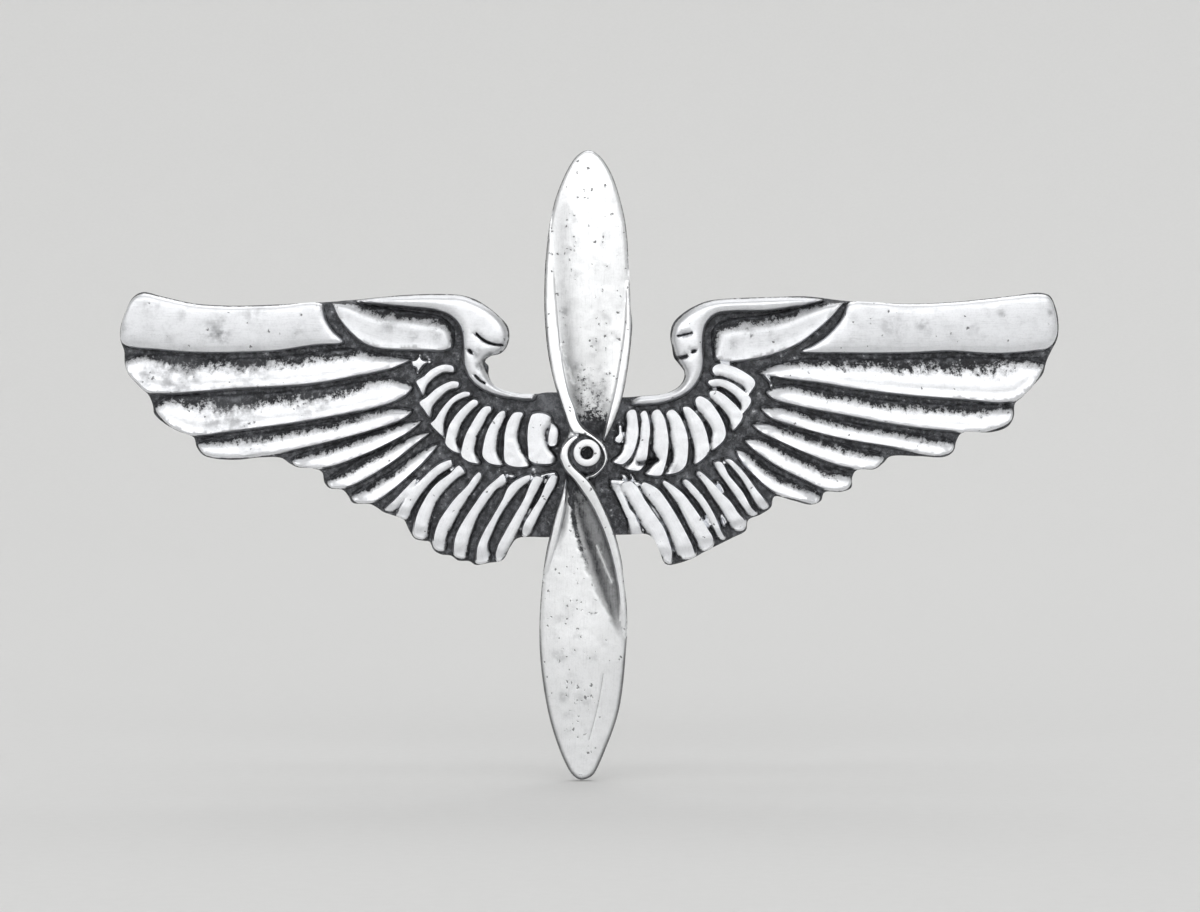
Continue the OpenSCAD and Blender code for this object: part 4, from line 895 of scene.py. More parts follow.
def blade_ground(p, edge):
    """Height and tones of the propeller's blades between the ribbons."""
    x, z = p.T
    middle = -0.22 * ease(-z, 2, 20)
    r = 13.0  # radius of the blades' crown
    height = 1.4 - (r - np.sqrt(r * r - np.clip(x - middle, -6, 6) ** 2)) - 0.3 * ease(np.abs(z), 15, 26)
    wear = np.full(len(p), 1.15)
    film_and_shade = np.zeros(len(p))

    # Upper blade: hollow between the two ribbons, dark at its root, with painted shade on the slope along the
    # left one.
    near_side = np.array(RIBBONS[0][:15])[::-1, 2:4]
    far_side = np.array(RIBBONS[2])[:, :2]
    left = np.interp(z, near_side[:, 1], near_side[:, 0])
    right = np.interp(z, far_side[:, 1], far_side[:, 0])
    u = (x - left) / np.maximum(right - left, 0.05)
    depth = np.interp(z, [1, 2.5, 4, 6, 8, 10, 13, 17, 20],
                      [0.75, 0.66, 0.52, 0.36, 0.26, 0.19, 0.12, 0.06, 0])
    upper = z > 0.4
    height -= np.where(upper, depth * ease(u, -0.08, 0.3) * ease(1 - u, -0.08, 0.36), 0)
    root = np.interp(z, [1.5, 2.4, 3.1, 4.0, 5.2, 6.2, 7.2, 8.2],
                     [0.04, 0.13, 0.38, 0.5, 0.57, 0.64, 0.82, 1.15])
    root += 0.3 * ease(np.abs(u - 0.5), 0.24, 0.5) * ease(z, 2.8, 4)
    root += 0.12 * noise(p, 0.9, 31) + 0.1 * noise(p, 0.4, 32)
    wear = np.where(upper & (u > -0.1) & (u < 1.1), np.minimum(wear, root), wear)
    # Painted shade on the slope inside the left ribbon.
    slope = np.exp(-((u - 0.12) / 0.14) ** 2) * ease(z, 2.4, 4) * (1 - ease(z, 19, 22.5))
    film_and_shade += np.where(upper, slope * np.interp(z, [3, 6, 9, 14], [0.64, 0.6, 0.46, 0.28]), 0)

    # Lower blade: a slanted facet beside the broad ribbon, dark from painted shade and patina, and a groove
    # beside the thin one, greyed by painted shade.
    line = np.array(FACET_EDGE)
    left = np.interp(z, line[::-1, 0], line[::-1, 1]) + 0.09 * noise(p, 0.35, 21)
    near_side = np.array(RIBBONS[1][8:])[::-1, :2]
    right = np.interp(z, near_side[:, 1], near_side[:, 0])
    u = (x - left) / np.maximum(right - left, 0.05)
    depth = np.interp(z, [-15, -13.5, -12, -10, -8, -6, -4.2, -2.4],
                      [0, 0.05, 0.14, 0.24, 0.32, 0.4, 0.48, 0.52])
    low = (z < -1.2) & (z > -15.4)
    height -= np.where(low, depth * (0.25 * ease(u, -0.04, 0.06) + 0.75 * ease(u, 0, 1.15)), 0)
    # Painted shade across the facet, in bands.
    shade = np.interp(u, [-0.06, 0.04, 0.22, 0.34, 0.46, 0.6, 0.8, 0.94, 1],
                      [0, 0.45, 0.6, 0.92, 0.9, 0.74, 0.74, 0.86, 0.9])
    shade = np.maximum(shade, 0.78 * (u > 0.02) * (1 - ease(-z, 4, 7)))
    shade *= np.interp(z, [-15.4, -14.4, -13, -10], [0, 0.45, 0.9, 1])
    film_and_shade = np.where(low, np.maximum(film_and_shade, shade), film_and_shade)
    wear -= np.where(low, (0.42 + 0.2 * noise(p, 0.5, 22)) * ease(u, -0.02, 0.1) * (1 - ease(-z, 4, 7.5)), 0)
    border = np.exp(-((x - left - 0.1) / 0.36) ** 2) * (0.68 + 0.2 * noise(p, 0.5, 23))
    wear -= np.where(low, border * (1 - ease(-z, 8, 12)), 0)
    wear -= np.where(z < -1, 1.0 * (1 - ease(-z, 2.1, 3.4)), 0)
    thin_side = np.array(RIBBONS[3])[::-1, 2:4]
    side = x - np.interp(z, thin_side[:, 1], thin_side[:, 0])
    # Painted shade in the groove.
    groove = np.exp(-((side - 0.12) / 0.3) ** 2) * (1 - ease(-z, 5.5, 9)) * (z < -1.5) * (side > -0.4)
    height -= 0.16 * groove
    film_and_shade = np.maximum(film_and_shade, 0.6 * groove)

    # Hub floor, round the rivet's ring, and the blades' rounded edges, with painted shade on those edges.
    hub = 1 - ease(np.hypot(x, z), 1.5, 2.0)
    height = height * (1 - hub) + 1.34 * hub
    wear = wear * (1 - hub) + 0.1 * hub
    film_and_shade *= 1 - hub
    height -= 0.3 * (1 - np.sqrt(1 - (1 - np.clip(edge / 0.32, 0, 1)) ** 2))
    height += 0.012 * noise(p, 1.4, 9) + 0.006 * noise(p, 0.4, 10)
    # Painted shade on the blades' rounded edges.
    bevel = 0.1 + 0.2 * ease(-z, 12, 19)
    film_and_shade = np.maximum(film_and_shade, 0.75 * (1 - ease(edge, 0.4 * bevel, bevel)))
    return WEB + height, np.column_stack([wear, film_and_shade, z, x])


# --------------------------------------------------------------------------- turned and cut parts
def rounded(points, r, steps=4):
    """A closed line with each corner rounded; r is one radius or one per point, and 0 leaves a corner."""
    p = np.array(points, float)
    r = np.broadcast_to(np.asarray(r, float), len(p))
    out = []
    for k in range(len(p)):
        a, b, c = p[k - 1], p[k], p[(k + 1) % len(p)]
        u, v = unit(a - b), unit(c - b)
        half = math.acos(float(np.clip(u @ v, -1, 1))) / 2
        if r[k] <= 0 or half < 0.05 or half > 1.54:
            out.append(b)
            continue
        back = min(r[k] / math.tan(half), 0.49 * min(np.linalg.norm(a - b), np.linalg.norm(c - b)))
        s, e = b + u * back, b + v * back
        for t in np.linspace(0, 1, steps + 1):
            out.append((1 - t) ** 2 * s + 2 * t * (1 - t) * b + t * t * e)
    return np.array(out)


def turn(place, verts):
    """Points [along the axis, and two across] set out along X, Y or Z from a place."""
    order = {"X": [0, 1, 2], "Y": [2, 0, 1], "Z": [1, 2, 0]}[place[1]]
    return verts[:, order] + place[0]


def lathe(name, place, profile, count=96, wobble=None, wear=None):
    """A turned part from [radius, along] points; a profile that starts on the axis is closed there."""
    p = np.array(profile, float)
    verts, polys = [], []
    angle = np.arange(count) * 2 * np.pi / count
    for k, (r, x) in enumerate(p):
        grow = 1 + (wobble(angle, k / len(p)) if wobble else 0)
        verts.append(np.column_stack([np.full(count, x), r * grow * np.cos(angle), r * grow * np.sin(angle)]))
    n = len(p)
    closed = p[0][0] > 1e-6
    for k in range(n if closed else n - 1):
        m = (k + 1) % n
        for i in range(count):
            j = (i + 1) % count
            polys.append((k * count + i, k * count + j, m * count + j, m * count + i))
    verts = turn(place, np.vstack(verts))
    tones = None
    if wear is not None:
        tones = np.column_stack([np.repeat(wear, count), np.zeros(len(verts)), verts[:, [0, 2]]])
    return clean(make_piece(name, verts, polys, tones))


def prism(place, outline, low, high, r, steps=3):
    """A cut part: a closed outline across the axis, from low to high along it, with edges rounded by r."""
    outline = np.array(outline, float)
    rows = []
    for k in range(steps + 1):
        a = 0.5 * np.pi * k / steps
        rows.append((r * (1 - math.sin(a)), low + r * (1 - math.cos(a))))
    rows += [(d, high + low - x) for d, x in rows[::-1]]
    n = len(outline)
    verts, polys = [], []
    for d, x in rows:
        q, _ = offset(outline, d) if d > 0 else (outline, None)
        verts.append(np.column_stack([np.full(n, x), q]))
    for k in range(len(verts) - 1):
        for i in range(n):
            j = (i + 1) % n
            polys.append((k * n + i, k * n + j, (k + 1) * n + j, (k + 1) * n + i))
    polys.append(tuple(range(n)))
    polys.append(tuple(range((len(verts) - 1) * n, len(verts) * n)))
    return turn(place, np.vstack(verts)), polys


def joined(name, parts, sharp=35):
    """One piece of several closed parts."""
    verts, polys, first = [], [], 0
    for v, f in parts:
        verts.append(v)
        polys += [tuple(i + first for i in face) for face in f]
        first += len(v)
    return clean(make_piece(name, np.vstack(verts), polys, sharp=sharp), sharp)


def clean(obj, sharp=35):
    """Joins doubled points, triangulates large caps and points every face outwards."""
    mesh = bmesh.new()
    mesh.from_mesh(obj.data)
    bmesh.ops.remove_doubles(mesh, verts=mesh.verts, dist=1e-7)
    bmesh.ops.triangulate(mesh, faces=[f for f in mesh.faces if len(f.verts) > 4])
    bmesh.ops.recalc_face_normals(mesh, faces=mesh.faces)
    mesh.to_mesh(obj.data)
    mesh.free()
    obj.data.shade_smooth()
    obj.data.set_sharp_from_angle(angle=math.radians(sharp))
    return obj


def arc(centre, r, start, end, count):
    """An arc of count points, with its ends in degrees."""
    a = np.radians(np.linspace(start, end, count))
    return np.column_stack([centre[0] + r * np.cos(a), centre[1] + r * np.sin(a)])


def open_arc(r, start, end, first, last, count=60):
    """An arc round the origin with a wider gap, in degrees, after its first point and before its last."""
    a = np.radians(np.r_[start, np.linspace(start + first, end - last, count), end])
    return r * np.column_stack([np.cos(a), np.sin(a)])


# ------------------------------------------------------------------------------------- materials
class Nodes:
    """A material's node tree, with short ways to add nodes."""

    def __init__(self, name):
        self.material = bpy.data.materials.new(name)
        self.material.use_nodes = True
        self.tree = self.material.node_tree
        self.bsdf = self.tree.nodes["Principled BSDF"]
        self.place = self.add("ShaderNodeTexCoord").outputs["Object"]

    def add(self, kind, inputs=None, **options):
        node = self.tree.nodes.new(kind)
        for key, value in options.items():
            setattr(node, key, value)
        for key, value in (inputs or {}).items():
            self.put(node.inputs[key], value)
        return node

    def put(self, socket, value):
        if isinstance(value, bpy.types.NodeSocket):
            self.tree.links.new(value, socket)
        else:
            socket.default_value = value

    def math(self, operation, a, b=0.0, c=0.0):
        return self.add("ShaderNodeMath", {0: a, 1: b, 2: c}, operation=operation).outputs[0]

    def attribute(self, name, output="Fac"):
        return self.add("ShaderNodeAttribute", attribute_name=name).outputs[output]

    def scaled(self, vector, x, y, z):
        return self.add("ShaderNodeMapping", {"Vector": vector, "Scale": (x, y, z)}).outputs[0]

    def noise(self, vector, scale, detail=3.0, rough=0.6):
        inputs = {"Vector": vector, "Scale": scale, "Detail": detail, "Roughness": rough}
        return self.add("ShaderNodeTexNoise", inputs).outputs["Fac"]

    def ramp(self, value, low, high, a=0.0, b=1.0, smooth=True):
        node = self.add("ShaderNodeMapRange", {0: value, 1: low, 2: high, 3: a, 4: b})
        node.interpolation_type = "SMOOTHSTEP" if smooth else "LINEAR"
        return node.outputs[0]

    def mix(self, share, a, b):
        node = self.add("ShaderNodeMix", data_type="RGBA")
        for socket, value in zip((node.inputs[0], node.inputs[6], node.inputs[7]), (share, a, b)):
            if isinstance(value, tuple):
                value = (*value, 1.0)
            self.put(socket, value)
        return node.outputs[2]

    def bump(self, height, distance, strength=1.0, normal=None):
        inputs = {"Height": height, "Distance": distance, "Strength": strength}
        if normal is not None:
            inputs["Normal"] = normal
        return self.add("ShaderNodeBump", inputs).outputs[0]


def struck_silver(name, barbs, pits, tone):
    """Worn bright silver over a dark patina.

    barbs is how ragged the patina's border is, pits how many pits there are, tone the silver's colour."""
    n = Nodes(name)
    wear, film_and_shade, blotch = (n.attribute(label) for label in ("wear", "film_and_shade", "stain"))
    grain = n.attribute("grain", "Vector")
    mm = n.scaled(n.place, 1000, 1000, 1000)
    combed = n.noise(n.scaled(grain, 3.2, 1.2, 1), 1.0, 3, 0.6)
    cloudy = n.noise(mm, 1.3, 4, 0.6)
    patchy = n.noise(mm, 1.8, 5, 0.72)
    fine = n.noise(mm, 6.5, 4, 0.7)
    grit = n.noise(mm, 22.0, 2, 0.6)
    mixed = n.math("ADD", n.math("MULTIPLY_ADD", combed, 0.5, patchy), n.math("MULTIPLY", fine, 0.9))
    level = n.math("MULTIPLY_ADD", n.math("SUBTRACT", mixed, 1.2), barbs, wear)
    bright = n.ramp(level, 0.33, 0.47)
    # Pits: small irregular specks, thick where the surface is stained.
    warp = n.add("ShaderNodeTexNoise", {"Vector": mm, "Scale": 4.0, "Detail": 2.0}).outputs["Color"]
    shift = {0: warp, 1: (0.45, 0.45, 0.45), 2: mm}
    warped = n.add("ShaderNodeVectorMath", shift, operation="MULTIPLY_ADD").outputs[0]
    pit = 0.0
    for scale, share, reach in ((3.4, 0.7, 0.4), (1.8, 0.4, 0.3)):
        cell = n.add("ShaderNodeTexVoronoi", {"Vector": warped, "Scale": scale})
        chance = n.math("MULTIPLY_ADD", blotch, share * pits, 0.05 * pits)
        draw = n.add("ShaderNodeSeparateColor", {0: cell.outputs["Color"]}).outputs[0]
        there = n.math("LESS_THAN", draw, chance)
        spot = n.math("MULTIPLY", there, n.ramp(cell.outputs["Distance"], 0.4 * reach, reach, 1.0, 0.0))
        pit = n.math("MAXIMUM", pit, spot)
    smudge = n.math("MULTIPLY", n.math("MULTIPLY", blotch, n.ramp(cloudy, 0.3, 0.65)), 0.85 - 0.5 * pits)
    frost = n.math("MULTIPLY", n.ramp(level, 0.42, 0.8, 0.4, 0.0), n.ramp(fine, 0.42, 0.58))
    hair = n.noise(n.scaled(grain, 0.7, 9.0, 1), 1.0, 3, 0.6)
    film = n.math("ADD", n.ramp(cloudy, 0.42, 0.72, 0.0, 0.07), n.ramp(fine, 0.45, 0.75, 0.0, 0.1))
    film = n.math("ADD", n.math("ADD", film, smudge), n.ramp(hair, 0.5, 0.7, 0.0, 0.08))
    # Cover over the bright silver: pits, film, frost and the grey attribute, which is a grey film in places
    # and painted shade in others.
    cover = n.math("MAXIMUM", n.math("MULTIPLY", pit, 0.8), n.math("ADD", n.math("ADD", film, frost), film_and_shade))
    shown = n.math("MULTIPLY", bright, n.math("SUBTRACT", 1.0, n.math("MINIMUM", cover, 1.0)))
    crust = n.math("MAXIMUM", n.ramp(patchy, 0.44, 0.66, 0.2, 1.0), n.ramp(fine, 0.47, 0.68, 0.0, 0.85))
    low = n.math("MULTIPLY", n.ramp(wear, 0.0, 0.12, 0.35, 1.0), n.ramp(wear, 0.13, 0.24, 1.0, 0.3))
    crust = n.math("MULTIPLY_ADD", blotch, 0.45, n.math("MULTIPLY", crust, low))
    dark = n.mix(crust, (0.019, 0.0195, 0.022), (0.19, 0.196, 0.212))
    n.put(n.bsdf.inputs["Base Color"], n.mix(shown, dark, tone))
    n.put(n.bsdf.inputs["Metallic"], n.ramp(shown, 0.05, 0.6, 0.4, 1.0))
    soft = n.math("MULTIPLY_ADD", cloudy, 0.1, n.math("MULTIPLY_ADD", shown, -0.24, 0.5))
    n.put(n.bsdf.inputs["Roughness"], soft)
    n.bsdf.inputs["Specular IOR Level"].default_value = 0.35
    rough = n.math("ADD", n.math("MULTIPLY", fine, n.math("MULTIPLY_ADD", bright, -0.8, 1.0)),
                   n.math("MULTIPLY", grit, 0.1))
    raised = n.math("ADD", rough, n.math("MULTIPLY", bright, 0.5))
    height = n.math("SUBTRACT", raised, n.math("MULTIPLY", pit, 0.8))
    wave = n.bump(n.noise(mm, 0.55, 2, 0.5), 0.00004, 0.4)
    n.put(n.bsdf.inputs["Normal"], n.bump(height, 0.00005, 0.6, wave))
    return n.material


def fitting_metal(name, tone, dark, rough, lines=(1, 1, 1), cover=0.3):
    """A small plain fitting: drawn or turned metal with fine lines, tarnish clouds and dark specks.

    dark is the tarnish's colour, lines the stretch of the fine lines, cover how much tarnish there is."""
    n = Nodes(name)
    mm = n.scaled(n.place, 1000, 1000, 1000)
    drawn = n.noise(n.scaled(mm, *lines), 14.0, 3, 0.6)
    cloudy = n.noise(mm, 1.1, 5, 0.62)
    fine = n.noise(mm, 9.0, 3, 0.6)
    tarnish = n.ramp(n.math("ADD", cloudy, n.math("MULTIPLY", fine, 0.25)), 0.58, 0.8, 0.0, cover)
    speck = n.ramp(n.noise(mm, 16.0, 2, 0.5), 0.69, 0.74, 0.0, 0.6)
    streak = n.ramp(drawn, 0.35, 0.75, 0.0, 0.16)
    share = n.math("MAXIMUM", n.math("ADD", tarnish, streak), speck)
    n.put(n.bsdf.inputs["Base Color"], n.mix(share, tone, dark))
    n.bsdf.inputs["Metallic"].default_value = 1.0
    rough = n.math("MULTIPLY_ADD", drawn, 0.12, rough)
    n.put(n.bsdf.inputs["Roughness"], n.math("MULTIPLY_ADD", share, 0.4, rough))
    n.put(n.bsdf.inputs["Normal"], n.bump(n.math("ADD", drawn, n.math("MULTIPLY", fine, 0.4)), 0.00002, 0.5))
    return n.material


silver_plate = struck_silver("plate_silver", 1.1, 0.3, (0.9, 0.912, 0.94))
silver_prop = struck_silver("propeller_silver", 1.2, 1.0, (0.955, 0.965, 0.98))
silver_rivet = struck_silver("rivet_silver", 0.5, 0.4, (0.92, 0.93, 0.95))
washer_nickel = fitting_metal("washer_nickel", (0.62, 0.61, 0.59), (0.16, 0.15, 0.14), 0.26, cover=0.5)
solder = fitting_metal("solder_tin", (0.6, 0.6, 0.6), (0.14, 0.14, 0.15), 0.36, cover=0.65)
fitting_nickel = fitting_metal("fitting_nickel", (0.62, 0.61, 0.58), (0.17, 0.16, 0.145), 0.26,
                               (1, 1, 0.15), 0.4)
pin_steel = fitting_metal("pin_steel", (0.52, 0.525, 0.54), (0.17, 0.17, 0.18), 0.22, (0.03, 1, 1), 0.25)
pivot_steel = fitting_metal("pivot_steel", (0.6, 0.6, 0.6), (0.12, 0.12, 0.12), 0.3, (1, 1, 0.1), 0.5)
rotor_nickel = fitting_metal("rotor_nickel", (0.66, 0.65, 0.62), (0.16, 0.15, 0.14), 0.24, (0.12, 1, 1), 0.35)


def place_piece(obj, body, node, material):
    """Gives a piece its material and its body, and hides the CAD node that it stands for."""
    obj.data.materials.append(material)
    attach(obj, body)
    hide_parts(node)


def middle_of(node):
    """Middle of a CAD node's box, in millimetres."""
    low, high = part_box(node)
    return np.array((low + high) / 2) / MM


# ------------------------------------------------------------------------------------- the badge
hinge_low, hinge_high = (np.array(v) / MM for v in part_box("hinge_patch"))
catch_low, catch_high = (np.array(v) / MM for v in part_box("catch_patch"))
washer_low, washer_high = (np.array(v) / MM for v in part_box("rivet_washer"))
seats = [((lo[0] + hi[0]) / 2, (lo[2] + hi[2]) / 2, (hi[0] - lo[0]) / 2 + 0.02, -lo[1])
         for lo, hi in ((hinge_low, hinge_high), (catch_low, catch_high), (washer_low, washer_high))]

plate_edge = spline(np.vstack([to_hub(LEFT_EDGE), to_hub(RIGHT_EDGE)]), 0.2, True)
grooves = [(to_hub(line), width, depth) for line, width, depth in GROOVES]
plate = relief("wing_plate_relief", plate_edge, wing_shapes(), web_ground, grooves,
               gap=0.33, back=0.0, lowest=0.62 * WEB, seats=seats, seed=1)
stain(plate, WING_STAINS, HUB)
place_piece(plate, "badge", "wing_plate", silver_plate)

prop_edge = spline(PROP_EDGE, 0.15, True)
ribbons = [ribbon_shape(rows, outer) for rows, outer in zip(RIBBONS, (0, 1, 1, 0))]
prop = relief("propeller_relief", prop_edge, ribbons, blade_ground, SCRATCHES,
              gap=0.2, back=WEB, lowest=WEB + 0.35, seats=[], seed=2)
stain(prop, BLADE_STAINS)
place_piece(prop, "badge", "propeller", silver_prop)

# Rivet: a ring head with a dark recess in front, a shank, and a rolled end with a dimple behind.
low, high = (np.array(v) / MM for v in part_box("hub_rivet"))
front, rear = -low[1], -high[1]
head_r, shank_r, rolled_r, recess_r = 1.1, 0.85, 1.32, 0.48
recess_deep, head_base = 1.2, 2.2
outline = [[0, front - recess_deep], [recess_r, front - recess_deep], [0.5, front - 0.1], [0.58, front],
           [head_r, front], [head_r, head_base], [shank_r, head_base], [shank_r, -washer_high[1]],
           [rolled_r, -washer_high[1]], [1.28, rear], [0.72, rear], [0.6, rear + 0.12], [0.3, rear + 0.15],
           [0, rear + 0.15]]
ring = rounded(outline, [0, 0.12, 0.05, 0.06, 0.13, 0.05, 0, 0.04, 0.08, 0.2, 0.1, 0.1, 0.05, 0], 4)
in_recess = (ring[:, 0] < recess_r + 0.025) & (ring[:, 1] > 0)
ring_wear = np.where(in_recess, 0.3, np.where(ring[:, 1] > head_base + 0.1, 1.15, 0.62))
rivet = lathe("hub_rivet_ring", ((0, 0, 0), "Y"), ring * [1, -1], wear=ring_wear)
place_piece(rivet, "badge", "hub_rivet", silver_rivet)

# Washer under the rolled end.
hole, rim = 0.88, 2.19
outer_face, plate_face = washer_high[1], washer_low[1]
section = rounded([[hole, outer_face], [rim, outer_face], [rim, plate_face], [hole, plate_face]],
                  [0.08, 0.14, 0.03, 0], 4)
washer = lathe("rivet_washer_disc", ((0, 0, 0), "Y"), section)
place_piece(washer, "badge", "rivet_washer", washer_nickel)


def bead(seed):
    """Uneven rim of a solder patch."""
    def wobble(angle, share):
        wave = sum(math.sin(seed * k * 1.7) * np.sin(k * angle + seed * k) / k for k in range(2, 9))
        return 0.018 * wave * ease(share, 0.15, 0.5)
    return wobble


def solder_piece(name, node, slot_seed):
    """A round patch of solder with an uneven rim."""
    lo, hi = (np.array(v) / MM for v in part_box(node))
    r, top = (hi[0] - lo[0]) / 2, hi[1]
    place = (((lo[0] + hi[0]) / 2, 0, (lo[2] + hi[2]) / 2), "Y")
    section = [[0, top]] + [[q * r, top - 0.07 * q ** 2] for q in (0.15, 0.3, 0.45, 0.6, 0.75)]
    section += [[0.86 * r, top - 0.08], [0.93 * r, top - 0.15], [0.975 * r, top - 0.26], [0.985 * r, 0.03],
                [0.98 * r, -0.06], [0.95 * r, lo[1]], [0, lo[1]]]
    piece = lathe(name, place, section, 96, bead(slot_seed))
    place_piece(piece, "badge", node, solder)


solder_piece("hinge_solder", "hinge_patch", 1.3)
solder_piece("catch_solder", "catch_patch", 2.1)

# Hinge: a folded bracket with two ears, and the rivet through them.
sink = 0.06  # how far the fittings reach into the solder
pin_line = middle_of("pin_stem")[1:]
hinge_x = middle_of("hinge_rivet")[0]
base = hinge_high[1]
knuckle_low, knuckle_high = (np.array(v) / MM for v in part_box("hinge_knuckle"))
half = (knuckle_high[2] - knuckle_low[2]) / 2
ear_t, wide, flare = 0.5, 0.85, 0.25
py, pz = pin_line
foot_side = [[wide + flare, base - sink], [wide + flare, base + 0.25], [wide, base + 0.75]]
ear = np.vstack([foot_side, arc((0, py), wide, 0, 180, 25), np.array(foot_side[::-1]) * [-1, 1]])
ear = np.column_stack([ear[:, 0] + hinge_x, ear[:, 1]])
parts = [prism(((0, 0, 0), "Z"), ear, z, z + ear_t, 0.1) for z in (pz - half, pz + half - ear_t)]
side, inner = half - 0.02, half - ear_t
floor_line = rounded([[-side, base - sink], [side, base - sink], [side, base + 0.4],
                      [inner, base + 0.45], [-inner, base + 0.45], [-side, base + 0.4]], [0.12] * 6, 3)
floor_line = floor_line[:, ::-1] + [0, pz]
parts.append(prism(((0, 0, 0), "X"), floor_line, hinge_x - 1.1, hinge_x + 1.1, 0.08))
knuckle = joined("hinge_bracket", parts)
place_piece(knuckle, "badge", "hinge_knuckle", fitting_nickel)

lo, hi = (np.array(v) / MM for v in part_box("hinge_rivet"))
reach = (hi[2] - lo[2]) / 2
head = [[0, reach], [0.3, reach - 0.03], [0.52, reach - 0.11], [0.68, reach - 0.22], [0.75, reach - 0.34],
        [0.75, reach - 0.4], [0.44, reach - 0.41]]
pivot = lathe("hinge_pivot", ((hinge_x, py, pz), "Z"), head + [[r, -x] for r, x in head[::-1]], 64)
place_piece(pivot, "badge", "hinge_rivet", pivot_steel)

# Pin: a flattened eye and a drawn wire with a long point.
lo, hi = (np.array(v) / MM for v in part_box("pin_stem"))
tip = hi[0]
wire_r, eye_r, taper_x = 0.5, 1.1, 25
eye = rounded([[0.5, -wire_r], [eye_r, -wire_r], [eye_r, wire_r], [0.5, wire_r]], [0.12, 0.3, 0.3, 0.12], 6)
stem_eye = lathe("pin_stem_eye", ((hinge_x, py, pz), "Z"), eye, 72)
wire = [[0, hinge_x + 0.62], [0.44, hinge_x + 0.64], [wire_r, hinge_x + 1.2]]
wire += [[wire_r, x] for x in np.linspace(hinge_x + 3, taper_x, 12)]
wire += [[wire_r - 0.42 * q ** 1.15, taper_x + (tip - taper_x - 0.12) * q] for q in np.linspace(0.06, 1, 24)]
wire += [[0.05, tip - 0.04], [0, tip]]
stem = lathe("pin_stem_wire", ((0, py, pz), "X"), wire, 40)
for piece in (stem, stem_eye):
    place_piece(piece, "pin", "pin_stem", pin_steel)

# Catch: an open case on its patch, and a slotted rotor with a thumb lever.
case_low, case_high = (np.array(v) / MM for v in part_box("catch_case"))
outer, inner, gate, foot = 1.95, 1.41, 0.8, 1.2
seat_y = catch_high[1] - py - sink
a_out, a_in, a_foot = (
    math.degrees(math.asin(w / r)) for w, r in ((gate, outer), (gate, inner), (foot, outer))
)
half_case = open_arc(outer, a_out, 180 - a_foot, 14, 2)
case = np.vstack([half_case, [[seat_y, foot], [seat_y, -foot]],
                  half_case[::-1] * [1, -1], open_arc(inner, 360 - a_in, a_in, -17, -17)])
corner = np.zeros(len(case))
lip = 2 * len(half_case) + 1
corner[[0, lip, lip + 1, -1]] = 0.2
case = rounded(case, corner, 4) + [py, pz]
shell = joined("catch_shell", [prism(((0, 0, 0), "X"), case, case_low[0], case_high[0], 0.07)])
place_piece(shell, "badge", "catch_case", fitting_nickel)


def slotted(edge):
    """A round blank with the pin's slot: edge gives its radius at an angle from +Y, in degrees."""
    slot = 0.6
    start = math.degrees(math.asin(slot / edge(20.0)))
    rim = np.array([[edge(x) * math.cos(math.radians(x)), edge(x) * math.sin(math.radians(x))]
                    for x in np.r_[start, np.linspace(start + 17, 343 - start, 100), 360 - start]])
    corner = np.r_[0.18, np.zeros(len(rim) - 2), 0.18, np.zeros(24)]
    return rounded(np.vstack([rim, arc((0, 0), slot, 270, 90, 24)]), corner, 4) + [py, pz]


lever, lever_r = 3.5, 0.5
rotor_low, rotor_high = (np.array(v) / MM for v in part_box("catch_rotor"))
collar, flange = rotor_low[0] + 0.35, rotor_high[0] - 0.7
lap = 0.02  # how far the rotor's parts reach into each other
parts = [prism(((0, 0, 0), "X"), slotted(lambda x: 1.35), collar - lap, flange + lap, 0.04),
         prism(((0, 0, 0), "X"), slotted(lambda x: 1.65 + 0.025 * math.cos(math.radians(x * 30))),
               rotor_low[0], collar, 0.06),
         prism(((0, 0, 0), "X"), slotted(lambda x: 1.75), flange, rotor_high[0] - 0.05, 0.07)]
arm_side = [[0.42, -2.2], [0.5, -1.2], [0.5, -0.62]]
arm_end = arc((0, lever_r - lever), lever_r, 180, 360, 21)
arm = np.vstack([arm_end, arm_side, np.array(arm_side[::-1]) * [-1, 1]])
parts.append(prism(((0, 0, 0), "X"), arm + [py, pz], flange + 2 * lap, rotor_high[0], 0.14))
rotor = joined("catch_rotor_barrel", parts)
place_piece(rotor, "rotor", "catch_rotor", rotor_nickel)


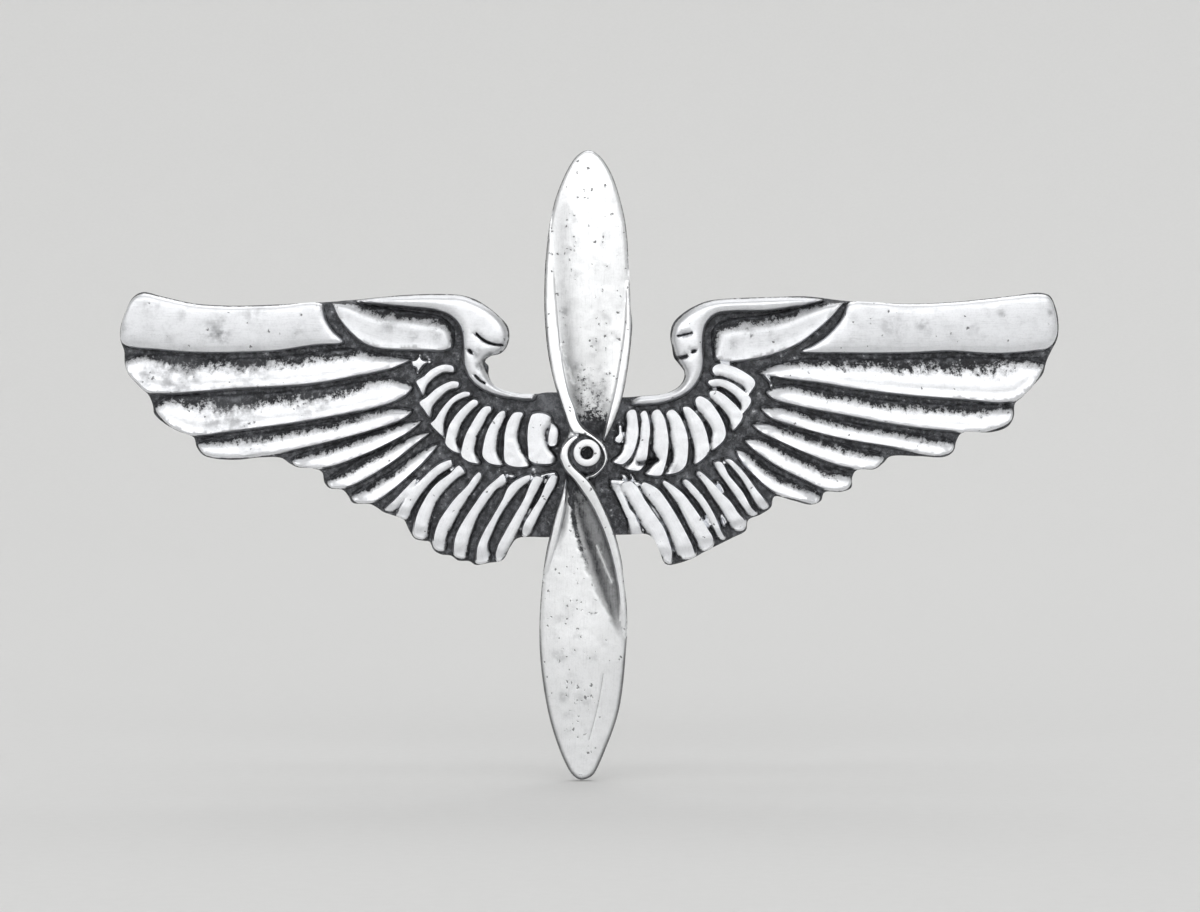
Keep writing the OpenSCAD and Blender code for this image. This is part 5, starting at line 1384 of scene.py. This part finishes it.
# ------------------------------------------------------------------------------ floor and lights
def studio():
    """A pale floor that curves up into a pale wall all round, far behind every view."""
    flat, bend, wall = 0.62, 0.5, 1.125  # radius of the floor, of the curve and of the wall, in metres
    rows = [(0.0, 0.0), (0.1, 0.0), (0.3, 0.0), (0.5, 0.0), (flat, 0.002)]
    rows += [(flat + bend * math.sin(a), bend - 0.498 * math.cos(a)) for a in np.linspace(0.12, 1.5, 16)]
    rows += [(wall, 0.8), (wall, 1.6)]
    count = 96
    verts, polys = [(0, 0, 0)], []
    for r, z in rows[1:]:
        verts += [(r * math.cos(a), r * math.sin(a), z) for a in np.arange(count) * 2 * np.pi / count]
    for i in range(count):
        polys.append((0, 1 + i, 1 + (i + 1) % count))
    for k in range(len(rows) - 2):
        for i in range(count):
            a, b = 1 + k * count + i, 1 + k * count + (i + 1) % count
            polys.append((a, a + count, b + count, b))
    mesh = bpy.data.meshes.new("studio_floor")
    mesh.from_pydata(verts, [], polys)
    mesh.shade_smooth()
    obj = bpy.data.objects.new("studio_floor", mesh)
    bpy.context.scene.collection.objects.link(obj)
    obj.location.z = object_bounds()[0].z - 0.0001
    n = Nodes("studio_paper")
    grain = n.noise(n.scaled(n.place, 1, 1, 1), 900.0, 2, 0.5)
    n.put(n.bsdf.inputs["Base Color"], n.mix(grain, (0.74, 0.74, 0.735), (0.77, 0.77, 0.765)))
    n.bsdf.inputs["Roughness"].default_value = 0.9
    obj.data.materials.append(n.material)
    obj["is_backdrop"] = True


def soft_light(name, at, size, power, aim=(0, 0, 0)):
    """A rectangular light at a place, turned towards another."""
    data = bpy.data.lights.new(name, "AREA")
    data.shape, data.size, data.size_y = "RECTANGLE", size[0], size[1]
    data.energy = power
    obj = bpy.data.objects.new(name, data)
    obj.location = at
    obj.rotation_euler = (Vector(aim) - Vector(at)).to_track_quat("-Z", "Y").to_euler()
    bpy.context.scene.collection.objects.link(obj)


studio()
soft_light("front_key", (-0.05, -0.9, 0.1), (1.4, 1.1), 4.8)
soft_light("wall_fill", (-0.05, -0.9001, 0.1), (1.4, 1.1), 1.3, (-0.1, -1.8, 0.2))
soft_light("top_soft", (0.0, 0.0, 1.5), (1.4, 1.4), 5.0)
soft_light("back_key", (0.1, 0.8, 0.8), (0.8, 0.5), 1.6)

world = bpy.data.worlds.new("studio")
world.use_nodes = True
world.node_tree.nodes["Background"].inputs["Color"].default_value = (0.8, 0.8, 0.8, 1)
world.node_tree.nodes["Background"].inputs["Strength"].default_value = 0.7
scene = bpy.context.scene
scene.world = world
scene.view_settings.view_transform = "Standard"

# Camera square on to the front, at the photograph's framing.
camera_data = bpy.data.cameras.new("camera")
camera_data.lens, camera_data.sensor_width = 100.0, 36.0
camera_data.clip_start, camera_data.clip_end = 0.01, 6.0
camera = bpy.data.objects.new("camera", camera_data)
view_width = 0.0971
camera.location = (0.00105, -0.0024 - view_width * camera_data.lens / camera_data.sensor_width, -0.00026)
camera.rotation_euler = (math.radians(90), 0, 0)
scene.collection.objects.link(camera)
scene.camera = camera
